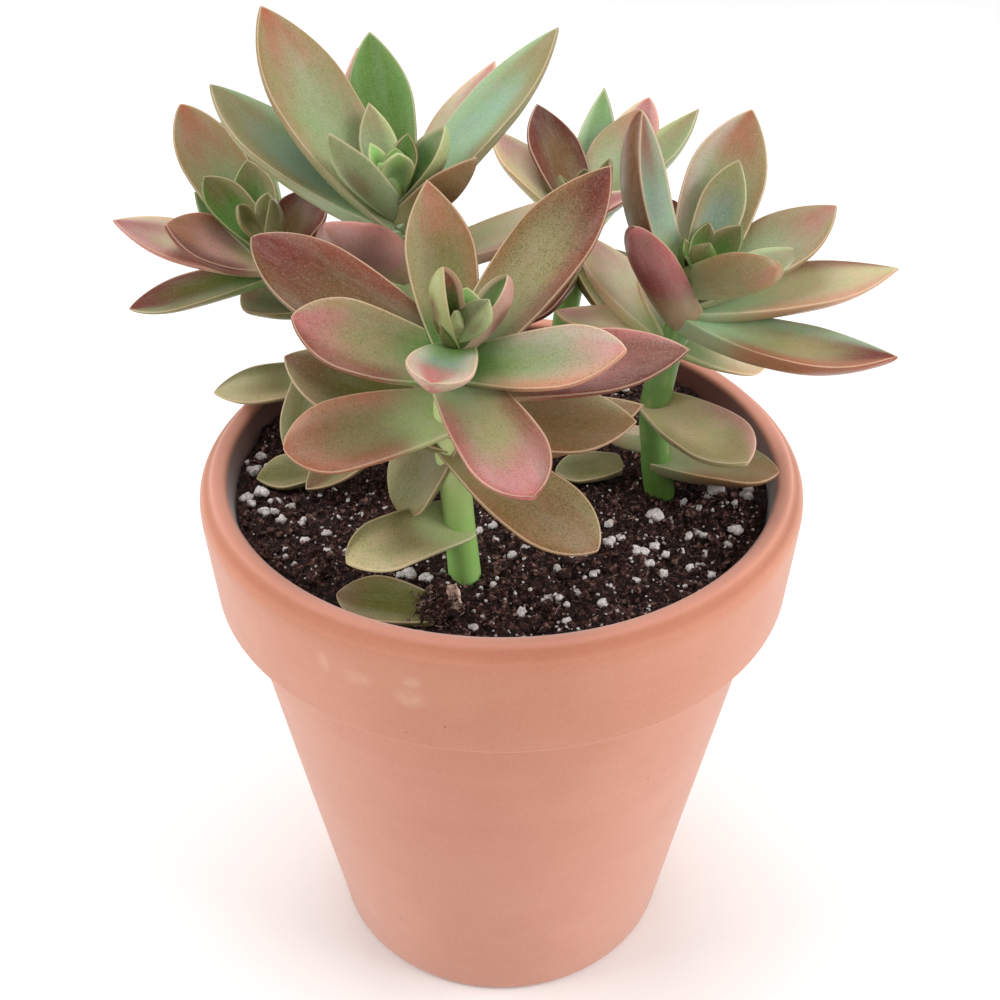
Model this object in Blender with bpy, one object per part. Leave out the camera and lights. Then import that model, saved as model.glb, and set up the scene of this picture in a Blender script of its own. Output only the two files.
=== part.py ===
"""Rosette succulent in a clay pot.

A terracotta flower pot filled with a peaty mix, five leafy stems that stand in it, each
ending in an open rosette of thick pointed leaves, and three fallen leaves on the soil.
Units are metres, +Z is up, the pot's axis is the Z axis and its foot stands on z = 0.
The front of the plant faces -Y.
"""

import math

import bmesh
import bpy
from mathutils import Vector

MM = 0.001

# Pot

POT_SEGMENTS = 40
RIM_RADIUS = 54.0
RIM_HEIGHT = 108.0
BAND_DEPTH = 22.0
BAND_FOOT_RADIUS = 52.5
BODY_TOP_RADIUS = 48.9
BASE_RADIUS = 34.2
FOOT_ROUNDING = 1.2
FLOOR_THICKNESS = 6.0
DRAIN_RADIUS = 6.0
LIP_RADIUS = 48.4

# Soil

CLEARANCE = 0.3
SOIL_LEVEL = 103.0
SOIL_RADII = [45.0, 40.6, 35.0, 28.0, 19.6, 10.0]
SOIL_SEGMENTS = 40
LUMP = 0.55
GRAINS = [
    # x, y, radius
    (27.0, -12.5, 2.1),
    (38.4, -5.4, 1.8),
    (44.2, -4.8, 1.6),
    (18.4, -20.0, 1.7),
    (23.6, -22.0, 2.0),
    (-15.4, -28.6, 1.7),
    (-11.4, -31.2, 1.3),
    (-44.4, 8.0, 1.6),
    (-45.0, 2.6, 1.4),
    (-45.0, -7.6, 1.5),
    (-38.6, -8.4, 1.8),
    (-35.2, -12.4, 1.5),
    (-29.6, -19.2, 1.3),
    (10.2, -25.0, 1.5),
    (34.8, -14.6, 1.4),
    (2.4, -33.4, 1.2),
    (-21.8, -30.4, 1.3),
    (14.0, 20.0, 1.5),
    (-12.0, 32.0, 1.7),
    (24.0, 30.0, 1.6),
]

# Stems: points of the centre line from the buried end to the crown, in mm

STEM_SIDES = 10
STEM_RINGS = 10
HOLE_CLEARANCE = 0.35

FRONT_STEM = [(-5.6, -27.5, 95), (-7.2, -28, 118), (-8.2, -28, 134), (-7.2, -28, 142), (-6.2, -28.3, 148)]
TOP_STEM = [(-14, 8, 95), (-15.8, 7.5, 122), (-16.8, 4, 142), (-17.1, 2, 157)]
LEFT_STEM = [(-27, 20, 95), (-30, 20, 112), (-36, 20, 128), (-43, 20, 142)]
RIGHT_STEM = [(29.6, -3.9, 95), (27.2, -4, 110), (26.4, -4, 121), (28.6, -4, 134), (31.6, -3.5, 146)]
BACK_STEM = [(10, 28, 95), (12, 28, 120), (14, 28, 135), (15.5, 28, 145)]

# Leaves
#
# Each row is one leaf: its name, the height on the stem where it grows (mm), the compass
# heading it points to (degrees from +X), its rise above the horizon (degrees), length and
# width (mm), the upward curl from root to tip (degrees), the roll about its own length
# (degrees) and how blunt the tip is (0 pointed, 1 round).

FRONT_LEAVES = [
    ("A1", 144, 102, 40, 30, 11, 12, 0, 0),
    ("A2", 143, 38, 39, 38.5, 12.5, 14, 0, 0.3),
    ("A3", 142, 158, 26, 37, 13.5, 8, 0, 0.7),
    ("A4", 143, -179, 20, 25.5, 12.5, 10, 0, 0.7),
    ("A5", 135, -167, -7, 26, 13, 6, 0, 0.9),
    ("A6", 141, -68, -3, 31, 12.2, -12, 0, 1),
    ("A7", 143, -22, 18, 28, 11, 4, 0, 0.5),
    ("A8", 140, -3, 11, 36, 11.5, 4, 0, 0.3),
    ("A9", 145, -100, 19, 19, 10, -10, 0, 1),
    ("A10", 146, -121, 76, 15.5, 7, 16, 0, 0.5),
    ("A11", 146, 38, 44, 13, 8.5, 40, 0, 1),
    ("A12", 147, -38, 54, 12, 7.5, 20, 20, 0.5),
    ("A13", 148, -85, 72, 10, 6, 20, 0, 0),
    ("A14", 148, 80, 60, 11, 7, 30, 0, 0),
    ("A15", 130, 155, 14, 30.5, 11.5, -4, 0, 0.5),
    ("A16", 129, -41, -12, 30, 12, -6, 0, 0.8),
    ("A17", 114, -141, 6, 22, 9.8, -4, 0, 0.7),
    ("A18", 131, 170, -58, 18, 11, -10, 0, 1),
    ("A19", 133, 0, 0, 29, 12, 0, 0, 0.3),
    ("A21", 126, 15, 9, 32, 10, 0, 0, 0),
    ("A22", 126, 120, -8, 26, 10, -6, 0, 0),
]
TOP_LEAVES = [
    ("B1", 153, 143, 47, 40, 15.5, 16, 0, 0.3),
    ("B2", 152, 154, 27, 39, 13.5, 16, 0, 0.3),
    ("B3", 153, 102, 42, 33.5, 11, 10, 0, 0.3),
    ("B4", 151, 105, 33, 36.5, 11, 10, 0, 0),
    ("B5", 153, 30, 41, 40, 11.5, 8, 0, 0.2),
    ("B6", 150, 57, 35, 35.5, 10, 10, 0, 0),
    ("B7", 155, 113, 48, 18, 6.5, 12, 0, 0),
    ("B8", 156, 15, 55, 14.5, 8, 26, 0, 0.5),
    ("B9", 153, -11, 41, 17, 9, 10, -35, 0.5),
    ("B10", 154, -160, 57, 18, 9.5, 16, 35, 0.5),
    ("B11", 144, -130, 39, 21.5, 11.5, 6, 40, 0.5),
    ("B12", 143, 8, 16, 42, 10.5, -4, 0, 0),
    ("B13", 143, 161, 38, 11, 8, 0, 0, 0.5),
    ("B14", 114.5, -142, -20, 26, 9.5, -4, 0, 0.5),
    ("B15", 156, -70, 66, 9, 6, 20, 0, 0),
    ("B16", 157, 150, 62, 9, 5, 20, 0, 0),
    ("B17", 142, 90, 0, 26, 10, 0, 0, 0),
    ("B18", 139, 48, -8, 18, 9.5, 0, 0, 0),
    ("B19", 138, 132, -10, 24, 9.5, 0, 0, 0),
]
LEFT_LEAVES = [
    ("C1", 137.5, 136, 43, 32, 11.5, 14, 0, 0.6),
    ("C2", 136.5, 115, 38, 32, 10, 10, 0, 0),
    ("C3", 135.5, -178, 18, 30, 10, 10, 0, 0.2),
    ("C4", 136.5, -169, 25, 20.5, 12, 14, 0, 0.4),
    ("C5", 135, -175, -14, 29, 8.5, -10, 0, 0.5),
    ("C6", 139.5, 158, 44, 16, 8, 14, 0, 0.6),
    ("C7", 139.5, 111, 48, 16, 8, 14, 0, 0.3),
    ("C8", 137.5, 49, 38, 14, 11, 10, 0, 0.8),
    ("C9", 127.5, 152, -4, 14.5, 10, -8, 0, 0.5),
    ("C10", 136.5, 149, 27, 20, 8, 8, 0, 0),
    ("C11", 112.5, -170, -3, 24, 9.5, -6, 0, 0.5),
    ("C12", 120, -109, -45, 23.5, 9, -8, 0, 0.5),
    ("C14", 134, 62, 10, 17, 9.5, 6, 0, 0.3),
    ("C15", 129.5, 100, -8, 25, 10, 0, 0, 0.3),
    ("C13", 140, -60, 66, 11, 7, 20, 0, 0),
]
RIGHT_LEAVES = [
    ("D1", 142, 155, 72, 31.5, 12.5, 35, 0, 0.3),
    ("D2", 142, 63, 43, 34, 13.5, 12, 0, 0.3),
    ("D3", 144, 58, 48, 22, 8, 12, 0, 0.3),
    ("D4", 145, 20, 50, 11, 6.5, 16, 0, 0.3),
    ("D5", 142, 26, 20, 30, 12, 12, 0, 0.3),
    ("D6", 145, -38, 27, 16.5, 11.5, 8, -35, 1),
    ("D7", 143, 17, 13, 20, 7.5, 8, 0, 0.3),
    ("D8", 140, 13, 4, 38, 11.5, 6, 0, 0),
    ("D9", 138, -16, -3, 35.5, 13, 28, 0, 0),
    ("D10", 138, -152, 60, 22, 10, 10, 40, 1),
    ("D11", 133.5, 120, 17, 28, 12, 6, 0, 0.3),
    ("D12", 133.5, 38, -27, 28, 12, -6, 30, 0.3),
    ("D13", 121.5, -57, 3, 24, 12.5, -16, 22, 0.8),
    ("D14", 110, -12, 0, 21.5, 11, -6, 0, 0.8),
    ("D15", 113.5, 123, -18, 16, 9, -4, 0, 0.5),
    ("D16", 146, -60, 66, 10, 6, 20, 0, 0),
    ("D18", 134.5, 152, -2, 22, 10, 0, 0, 0.3),
    ("D19", 134.5, 92, 2, 26, 10, 0, 0, 0.3),
    ("D17", 138, 90, 27, 24.5, 9, 6, 0, 1),
]
BACK_LEAVES = [
    ("E1", 137, 79, 33, 33.5, 7.5, 10, 0, 0),
    ("E2", 141, 114, 35, 25, 10.5, 12, 0, 0.2),
    ("E3", 142, 62, 27, 26, 11.5, 14, 0, 0.3),
    ("E6", 139, 60, 31, 31, 11, 12, 0, 0.5),
    ("E4", 141, 38, 27, 31, 9.5, 8, 0, 0),
    ("E5", 140, 134, 25, 26, 10, 10, 0, 0.3),
    ("E7", 132, -134, -23, 17.5, 9, -6, 0, 0.3),
    ("E8", 133, -38, -42, 16.5, 8, -4, 0, 0.3),
    ("E9", 134, 100, 5, 26, 10, 0, 0, 0),
    ("E10", 132, 30, -5, 12, 10, 0, 0, 0),
    ("E12", 143, -95, 48, 9, 6, 20, 0, 0),
    ("E13", 144, 20, 62, 9, 5.5, 20, 0, 0),
    ("E14", 143, 178, 52, 8, 6, 20, 0, 0),
    ("E11", 133, 178, 12, 17, 9, 0, 0, 0),
]

# Fallen leaves: the broken end's place (mm), then heading, rise, length, width, curl and bluntness

FALLEN_LEAVES = {
    "loose_leaf_front": ((-10.0, -39.0, 104.0), 170, 4, 17, 9.5, -6, 0.6),
    "loose_leaf_right": ((22.0, 1.0, 105.6), -172, -3, 12.5, 7.5, 0, 0.6),
    "loose_leaf_left": ((-31.0, 1.0, 105.2), -165, -3, 13.5, 8.5, 0, 0.3),
}

# Leaf section, in shares of the half width

TOP_DOME = 0.08
KEEL_DEPTH = 0.50
CUPPING = 0.20
LARGE_SIDES = 8
SMALL_SIDES = 6
LARGE_RINGS = [-0.06, 0.24, 0.52, 0.74, 0.91]
SMALL_RINGS = [-0.06, 0.34, 0.66, 0.88]
FALLEN_RINGS = [0.0, 0.16, 0.38, 0.60, 0.78, 0.93]
LARGE_LEAF = 20.0


# Scene and materials

def clear_scene():
    """Start from an empty scene."""
    for old in list(bpy.data.objects):
        bpy.data.objects.remove(old, do_unlink=True)


def material(name, colour, roughness):
    """Plain material of one colour."""
    made = bpy.data.materials.new(name)
    made.use_nodes = True
    shader = made.node_tree.nodes["Principled BSDF"]
    shader.inputs["Base Color"].default_value = (*colour, 1.0)
    shader.inputs["Roughness"].default_value = roughness
    made.diffuse_color = (*colour, 1.0)
    return made


def add_object(name, bm, surface=None, collection=None):
    """Turn a bmesh into a named object, its faces outwards."""
    bmesh.ops.triangulate(bm, faces=bm.faces)
    bm.normal_update()
    bmesh.ops.recalc_face_normals(bm, faces=bm.faces)
    mesh = bpy.data.meshes.new(name)
    bm.to_mesh(mesh)
    bm.free()
    made = bpy.data.objects.new(name, mesh)
    if surface is not None:
        mesh.materials.append(surface)
    (collection or bpy.context.scene.collection).objects.link(made)
    return made


def boolean(target, operands, operation, solver="EXACT"):
    """Join or cut the target with every object of a list, then remove those objects."""
    group = bpy.data.collections.new(target.name + "_operands")
    bpy.context.scene.collection.children.link(group)
    for operand in operands:
        bpy.context.scene.collection.objects.unlink(operand)
        group.objects.link(operand)
    step = target.modifiers.new(operation.lower(), "BOOLEAN")
    step.operation = operation
    step.operand_type = "COLLECTION"
    step.collection = group
    step.solver = solver
    bpy.context.view_layer.objects.active = target
    bpy.ops.object.modifier_apply(modifier=step.name)
    for operand in operands:
        bpy.data.objects.remove(operand, do_unlink=True)
    bpy.data.collections.remove(group)


def smooth(target, angle):
    """Smooth shading that keeps the edges sharper than an angle in degrees."""
    for face in target.data.polygons:
        face.use_smooth = True
    target.data.set_sharp_from_angle(angle=math.radians(angle))


def turned(profile, segments):
    """Bmesh of a profile of (radius, height) in mm turned about the Z axis."""
    bm = bmesh.new()
    verts = [bm.verts.new((radius * MM, 0.0, height * MM)) for radius, height in profile]
    edges = [bm.edges.new(pair) for pair in zip(verts, verts[1:])]
    if profile[0][0] > 0.0:
        edges.append(bm.edges.new((verts[-1], verts[0])))
    bmesh.ops.spin(
        bm,
        geom=verts + edges,
        cent=(0.0, 0.0, 0.0),
        axis=(0.0, 0.0, 1.0),
        angle=math.tau,
        steps=segments,
        use_merge=True,
    )
    bmesh.ops.remove_doubles(bm, verts=bm.verts, dist=0.00002)
    return bm


# Pot

def pot_profile():
    """Closed outline of the pot's wall, floor and drain hole, from the lip round to the lip."""
    band_foot = RIM_HEIGHT - BAND_DEPTH
    return [
        (51.6, RIM_HEIGHT),
        (53.2, RIM_HEIGHT - 0.7),
        (RIM_RADIUS, RIM_HEIGHT - 2.5),
        (BAND_FOOT_RADIUS, band_foot + 0.6),
        (BAND_FOOT_RADIUS - 0.5, band_foot),
        (BODY_TOP_RADIUS, band_foot),
        (BASE_RADIUS, FOOT_ROUNDING),
        (BASE_RADIUS - FOOT_ROUNDING, 0.0),
        (DRAIN_RADIUS + 0.5, 0.0),
        (DRAIN_RADIUS, 0.8),
        (DRAIN_RADIUS, FLOOR_THICKNESS - 0.5),
        (DRAIN_RADIUS + 1.0, FLOOR_THICKNESS),
        (28.0, FLOOR_THICKNESS),
        (30.5, FLOOR_THICKNESS + 2.0),
        (44.0, 84.0),
        (46.8, 92.0),
        (LIP_RADIUS, 104.0),
        (48.9, 107.0),
        (49.9, RIM_HEIGHT - 0.1),
    ]


def make_pot(surface):
    """Turned clay pot with a deep rim band."""
    pot = add_object("pot", turned(pot_profile(), POT_SEGMENTS), surface)
    smooth(pot, 30)
    return pot


# Leaves and stems

def direction(heading, rise):
    """Unit vector of a compass heading and a rise, both in degrees."""
    turn = math.radians(heading)
    lift = math.radians(rise)
    return Vector((math.cos(lift) * math.cos(turn), math.cos(lift) * math.sin(turn), math.sin(lift)))


def half_width(share, blunt):
    """Half width at a share of the leaf's length, 1 at the widest place."""
    widest = 0.58 + 0.09 * blunt
    root = 0.48 + 0.08 * blunt
    if share < widest:
        return root + (1.0 - root) * math.sin(math.pi / 2 * max(share, 0.0) / widest)
    return 1.0 - ((share - widest) / (1.0 - widest)) ** (1.9 + 0.6 * blunt)


def leaf_frame(axis, heading, rise, roll):
    """Directions along the leaf, across it, and out of its upper face."""
    along = direction(heading, rise)
    upper = (axis - axis.dot(along) * along).normalized()
    across = along.cross(upper)
    turn = math.radians(roll)
    turned_upper = upper * math.cos(turn) + across * math.sin(turn)
    turned_across = across * math.cos(turn) - upper * math.sin(turn)
    return along, turned_across, turned_upper


def leaf_point(share, angle, length, width, curl, blunt):
    """Place on the leaf's skin: distance along, across and up, in mm.

    The upper face is nearly flat and slightly cupped. The lower face is a rounded keel near
    the root that sharpens to a ridge towards the tip.
    """
    bend = math.radians(curl if abs(curl) > 0.01 else 0.01)
    radius = length / (2.0 * math.sin(bend / 2.0))
    turn = bend * (share - 0.5)
    forward = radius * (math.sin(turn) + math.sin(bend / 2.0))
    lift = radius * (math.cos(bend / 2.0) - math.cos(turn))
    half = width / 2.0 * half_width(share, blunt)
    thin = 1.0
    if share > 0.58:
        thin = max(0.0, half_width(share, blunt)) ** 0.8
    keel = min(max((share - 0.3) / 0.6, 0.0), 1.0)
    side = abs(math.cos(angle))
    height = abs(math.sin(angle))
    if math.sin(angle) >= 0.0:
        skin = TOP_DOME * width / 2.0 * thin * height ** 2
    else:
        skin = -KEEL_DEPTH * width / 2.0 * thin * ((1.0 - keel) * height ** 1.2 + keel * (1.0 - side))
    skin += CUPPING * half * (side ** 2 - 0.5)
    return (
        forward - skin * math.sin(turn),
        half * math.cos(angle),
        lift + skin * math.cos(turn),
    )


def leaf_bmesh(root, axis, heading, rise, length, width, curl, roll, blunt, rings, grow=0.0):
    """One leaf: a sphere whose rings are laid out along the leaf."""
    bm = bmesh.new()
    steps = len(rings) + 1
    sides = SMALL_SIDES if rings is SMALL_RINGS else LARGE_SIDES
    bmesh.ops.create_uvsphere(bm, u_segments=sides, v_segments=steps, radius=1.0)
    along, across, upper = leaf_frame(axis, heading, rise, roll)
    for vert in bm.verts:
        ring = round(math.acos(max(-1.0, min(1.0, -vert.co.z))) / math.pi * steps)
        angle = math.atan2(vert.co.y, vert.co.x)
        if ring == steps:
            forward, sideways, up = leaf_point(1.0, 0.0, length, width, curl, blunt)
        elif ring == 0:
            forward, sideways, up = leaf_point(rings[0], math.pi / 2, length, width, curl, blunt)
            up = 0.0
        else:
            forward, sideways, up = leaf_point(rings[ring - 1], angle, length, width, curl, blunt)
        vert.co = (Vector(root) + along * forward + across * sideways + upper * up) * MM
    bm.normal_update()
    bmesh.ops.recalc_face_normals(bm, faces=bm.faces)
    if grow > 0.0:
        bm.normal_update()
        for vert in bm.verts:
            vert.co += vert.normal * grow * MM
    return bm


def on_stem(path, height):
    """Point of a stem's centre line at a height in mm."""
    for low, high in zip(path, path[1:]):
        if height <= high[2]:
            break
    share = (height - low[2]) / (high[2] - low[2])
    return Vector(low).lerp(Vector(high), share)


def curve_point(path, share):
    """Point of the smooth curve through a stem's centre points, share 0 to 1."""
    ends = [Vector(point) for point in path]
    ends = [ends[0] * 2 - ends[1]] + ends + [ends[-1] * 2 - ends[-2]]
    place = share * (len(path) - 1)
    span = min(int(place), len(path) - 2)
    t = place - span
    a, b, c, d = ends[span:span + 4]
    return (b * 2 + (c - a) * t + (a * 2 - b * 5 + c * 4 - d) * t * t + (b * 3 - a - c * 3 + d) * t ** 3) * 0.5


def stem_bmesh(path, radius, grow=0.0):
    """One stem: a sphere whose rings are laid out along the curved centre line."""
    bm = bmesh.new()
    steps = STEM_RINGS + 1
    bmesh.ops.create_uvsphere(bm, u_segments=STEM_SIDES, v_segments=steps, radius=1.0)
    for vert in bm.verts:
        ring = round(math.acos(max(-1.0, min(1.0, -vert.co.z))) / math.pi * steps)
        turn = math.atan2(vert.co.y, vert.co.x)
        share = min(max((ring - 1) / (STEM_RINGS - 1), 0.0), 1.0)
        centre = curve_point(path, share)
        ahead = curve_point(path, min(share + 0.02, 1.0)) - curve_point(path, max(share - 0.02, 0.0))
        ahead.normalize()
        side = ahead.cross(Vector((0.0, 1.0, 0.0))).normalized()
        front = ahead.cross(side)
        thick = radius * (1.0 - 0.12 * share - 0.5 * share ** 6) + grow
        if ring in (0, steps):
            thick = 0.0
        if ring <= 1:
            centre.z -= grow
        vert.co = (centre + (side * math.cos(turn) + front * math.sin(turn)) * thick) * MM
    return bm


def make_rosette(name, path, radius, axis, leaves, surface):
    """One leafy stem: the stem, its crown and every leaf fused into one body."""
    stem = add_object(name, stem_bmesh(path, radius), surface)
    crown = bmesh.new()
    bmesh.ops.create_icosphere(crown, subdivisions=1, radius=2.6 * MM)
    bmesh.ops.translate(crown, verts=crown.verts, vec=Vector(path[-1]) * MM)
    parts = [add_object(name + "_crown", crown, surface)]
    facing = direction(*axis)
    for label, height, heading, rise, length, width, curl, roll, blunt in leaves:
        rings = LARGE_RINGS if length > LARGE_LEAF else SMALL_RINGS
        leaf = leaf_bmesh(
            on_stem(path, height), facing, heading, rise, length, width, curl, roll, blunt, rings
        )
        parts.append(add_object(label, leaf, surface))
    boolean(stem, parts, "UNION", "MANIFOLD")
    smooth(stem, 50)
    return stem


# Soil

def surface_height(x, y):
    """Height of the soil's uneven surface in mm at a place in mm."""
    swell = math.sin(0.21 * x + 0.8) * math.cos(0.19 * y - 0.5)
    lumps = math.sin(0.53 * x - 0.31 * y + 1.1) * math.cos(0.47 * y + 0.22 * x)
    return SOIL_LEVEL + LUMP * (0.6 * swell + 0.5 * lumps)


def soil_bmesh():
    """Body of soil that fills the pot, with an uneven top."""
    floor = FLOOR_THICKNESS + CLEARANCE
    outer = [
        (0.0, floor),
        (27.8, floor),
        (30.1, FLOOR_THICKNESS + 2.1 + CLEARANCE),
        (43.6, 84.0 + CLEARANCE),
        (46.4, 92.0 + CLEARANCE),
        (47.8, SOIL_LEVEL - 0.6),
    ]
    top = [(radius, SOIL_LEVEL) for radius in SOIL_RADII]
    bm = turned(outer + top + [(0.0, SOIL_LEVEL)], SOIL_SEGMENTS)
    for vert in bm.verts:
        if vert.co.z > (SOIL_LEVEL - 0.3) * MM:
            vert.co.z = surface_height(vert.co.x / MM, vert.co.y / MM) * MM
    return bm


def make_soil(beds, surface):
    """Soil with a plain hole for each stem, a bed under each leaf that touches it, and grains."""
    soil = add_object("soil", soil_bmesh(), surface)
    grains = []
    for number, (x, y, radius) in enumerate(GRAINS):
        bm = bmesh.new()
        bmesh.ops.create_icosphere(bm, subdivisions=1, radius=radius * MM)
        bmesh.ops.scale(bm, verts=bm.verts, vec=(1.0, 0.85, 0.75))
        height = surface_height(x, y) + 0.15 * radius
        bmesh.ops.translate(bm, verts=bm.verts, vec=Vector((x, y, height)) * MM)
        grains.append(add_object(f"grain_{number:02d}", bm, surface))
    boolean(soil, grains, "UNION")
    boolean(soil, beds, "DIFFERENCE")
    smooth(soil, 40)
    return soil


def main():
    clear_scene()
    clay = material("terracotta", (0.60, 0.26, 0.17), 0.85)
    peat = material("potting_mix", (0.035, 0.018, 0.014), 0.95)
    skins = {
        "rosette_front": material("leaf_front", (0.22, 0.25, 0.10), 0.5),
        "rosette_top": material("leaf_top", (0.25, 0.33, 0.14), 0.5),
        "rosette_left": material("leaf_left", (0.26, 0.29, 0.14), 0.5),
        "rosette_right": material("leaf_right", (0.36, 0.22, 0.13), 0.5),
        "rosette_back": material("leaf_back", (0.28, 0.36, 0.13), 0.5),
    }
    fallen = material("leaf_fallen", (0.27, 0.29, 0.20), 0.6)

    stems = {
        "rosette_front": (FRONT_STEM, 2.7, (-90, 62), FRONT_LEAVES),
        "rosette_top": (TOP_STEM, 2.7, (-90, 84), TOP_LEAVES),
        "rosette_left": (LEFT_STEM, 2.5, (-110, 70), LEFT_LEAVES),
        "rosette_right": (RIGHT_STEM, 2.7, (-20, 70), RIGHT_LEAVES),
        "rosette_back": (BACK_STEM, 2.5, (90, 86), BACK_LEAVES),
    }

    make_pot(clay)
    beds = []
    for name, (path, radius, axis, leaves) in stems.items():
        make_rosette(name, path, radius, axis, leaves, skins[name])
        beds.append(add_object(name + "_hole", stem_bmesh(path, radius, HOLE_CLEARANCE)))

    facing_up = direction(-90, 78)
    for name, (root, heading, rise, length, width, curl, blunt) in FALLEN_LEAVES.items():
        shape = (Vector(root), facing_up, heading, rise, length, width, curl, 0.0, blunt, FALLEN_RINGS)
        leaf = add_object(name, leaf_bmesh(*shape), fallen)
        smooth(leaf, 50)
        beds.append(add_object(name + "_bed", leaf_bmesh(*shape, grow=HOLE_CLEARANCE)))

    make_soil(beds, peat)


main()
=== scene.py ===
# %% [markdown]
# # A rosette succulent in a clay pot
# This lesson dresses a finished solid model. The solids give the true sizes and places of
# the pot, the potting mix, five leafy stems and three fallen leaves. Here each of them gets
# a finer surface of the same form and a material that is built from nodes alone.

# %% Load the frame
import math
import random

import bmesh
import bpy
from mathutils import Matrix, Vector, noise


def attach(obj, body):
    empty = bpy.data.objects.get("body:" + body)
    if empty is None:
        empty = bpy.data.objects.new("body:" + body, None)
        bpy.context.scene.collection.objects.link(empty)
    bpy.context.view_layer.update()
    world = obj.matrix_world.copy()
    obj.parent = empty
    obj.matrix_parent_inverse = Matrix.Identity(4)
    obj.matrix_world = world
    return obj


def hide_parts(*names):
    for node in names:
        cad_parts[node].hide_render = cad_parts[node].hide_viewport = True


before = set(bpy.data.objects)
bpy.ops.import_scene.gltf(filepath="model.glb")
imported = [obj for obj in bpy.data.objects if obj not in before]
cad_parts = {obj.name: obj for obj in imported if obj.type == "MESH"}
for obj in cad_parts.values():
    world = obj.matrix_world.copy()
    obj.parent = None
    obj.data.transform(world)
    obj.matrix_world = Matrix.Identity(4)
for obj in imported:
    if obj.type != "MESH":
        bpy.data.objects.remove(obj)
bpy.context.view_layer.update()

print("nodes:", ", ".join(sorted(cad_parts)))

# %% [markdown]
# ## Units and small helpers
# The sizes below are written in millimetres, because leaves and crumbs are small, and
# Blender works in metres, so one constant turns the one into the other. Colours are written
# as the 0 to 255 values that a screen shows. Cycles wants linear light, hence the curve.

# %% Units, colours, curves and objects
MM = 0.001


def linear(colour):
    """Screen colour, 0 to 255, as the linear colour that a shader reads."""
    parts = [value / 255.0 for value in colour]
    return tuple(p / 12.92 if p <= 0.04045 else ((p + 0.055) / 1.055) ** 2.4 for p in parts)


def ease(low, high, value):
    """Smooth step from 0 at low to 1 at high."""
    share = min(max((value - low) / (high - low), 0.0), 1.0)
    return share * share * (3.0 - 2.0 * share)


def blend(first, second, share):
    """Mix of two colours."""
    return tuple(a + (b - a) * share for a, b in zip(first, second))


def add_object(name, data):
    """New object of a mesh, a lamp or a camera."""
    made = bpy.data.objects.new(name, data)
    bpy.context.scene.collection.objects.link(made)
    return made


def as_mesh(bm, name):
    """Mesh of a bmesh, which is freed."""
    mesh = bpy.data.meshes.new(name)
    bm.to_mesh(mesh)
    bm.free()
    return mesh


def outward(bm):
    """Turn every face of a bmesh outward."""
    bm.normal_update()
    bmesh.ops.recalc_face_normals(bm, faces=bm.faces)


# %% [markdown]
# ## The camera
# The picture was taken from a little above the plant. The pot's rim and foot show as two
# ellipses, and their proportions give the height of the eye and the strength of the
# perspective. The camera is a plain one: no shift, no tilt to the side, no blur.

# %% Camera
AIM = Vector((-0.3, 0.0, 98.0)) * MM
EYE_DISTANCE = 275.0 * MM
EYE_ELEVATION = math.radians(35.7)

camera_data = bpy.data.cameras.new("camera")
camera_data.sensor_width = 36.0
camera_data.lens = 54.0
camera_data.clip_start = 0.01
camera = add_object("camera", camera_data)
eye_offset = Vector((0.0, -math.cos(EYE_ELEVATION), math.sin(EYE_ELEVATION))) * EYE_DISTANCE
camera.location = AIM + eye_offset
camera.rotation_euler = (-eye_offset).to_track_quat("-Z", "Y").to_euler()
bpy.context.scene.camera = camera
print("camera at", [round(value, 4) for value in camera.location])

# %% [markdown]
# ## Writing materials with nodes
# Every finish here is a small network: textures that vary a colour, a roughness and a bump.
# The helpers below add one node each and wire it, so that a material reads as a short list
# of its effects. Values that never vary are set on the shader's own sockets.


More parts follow.
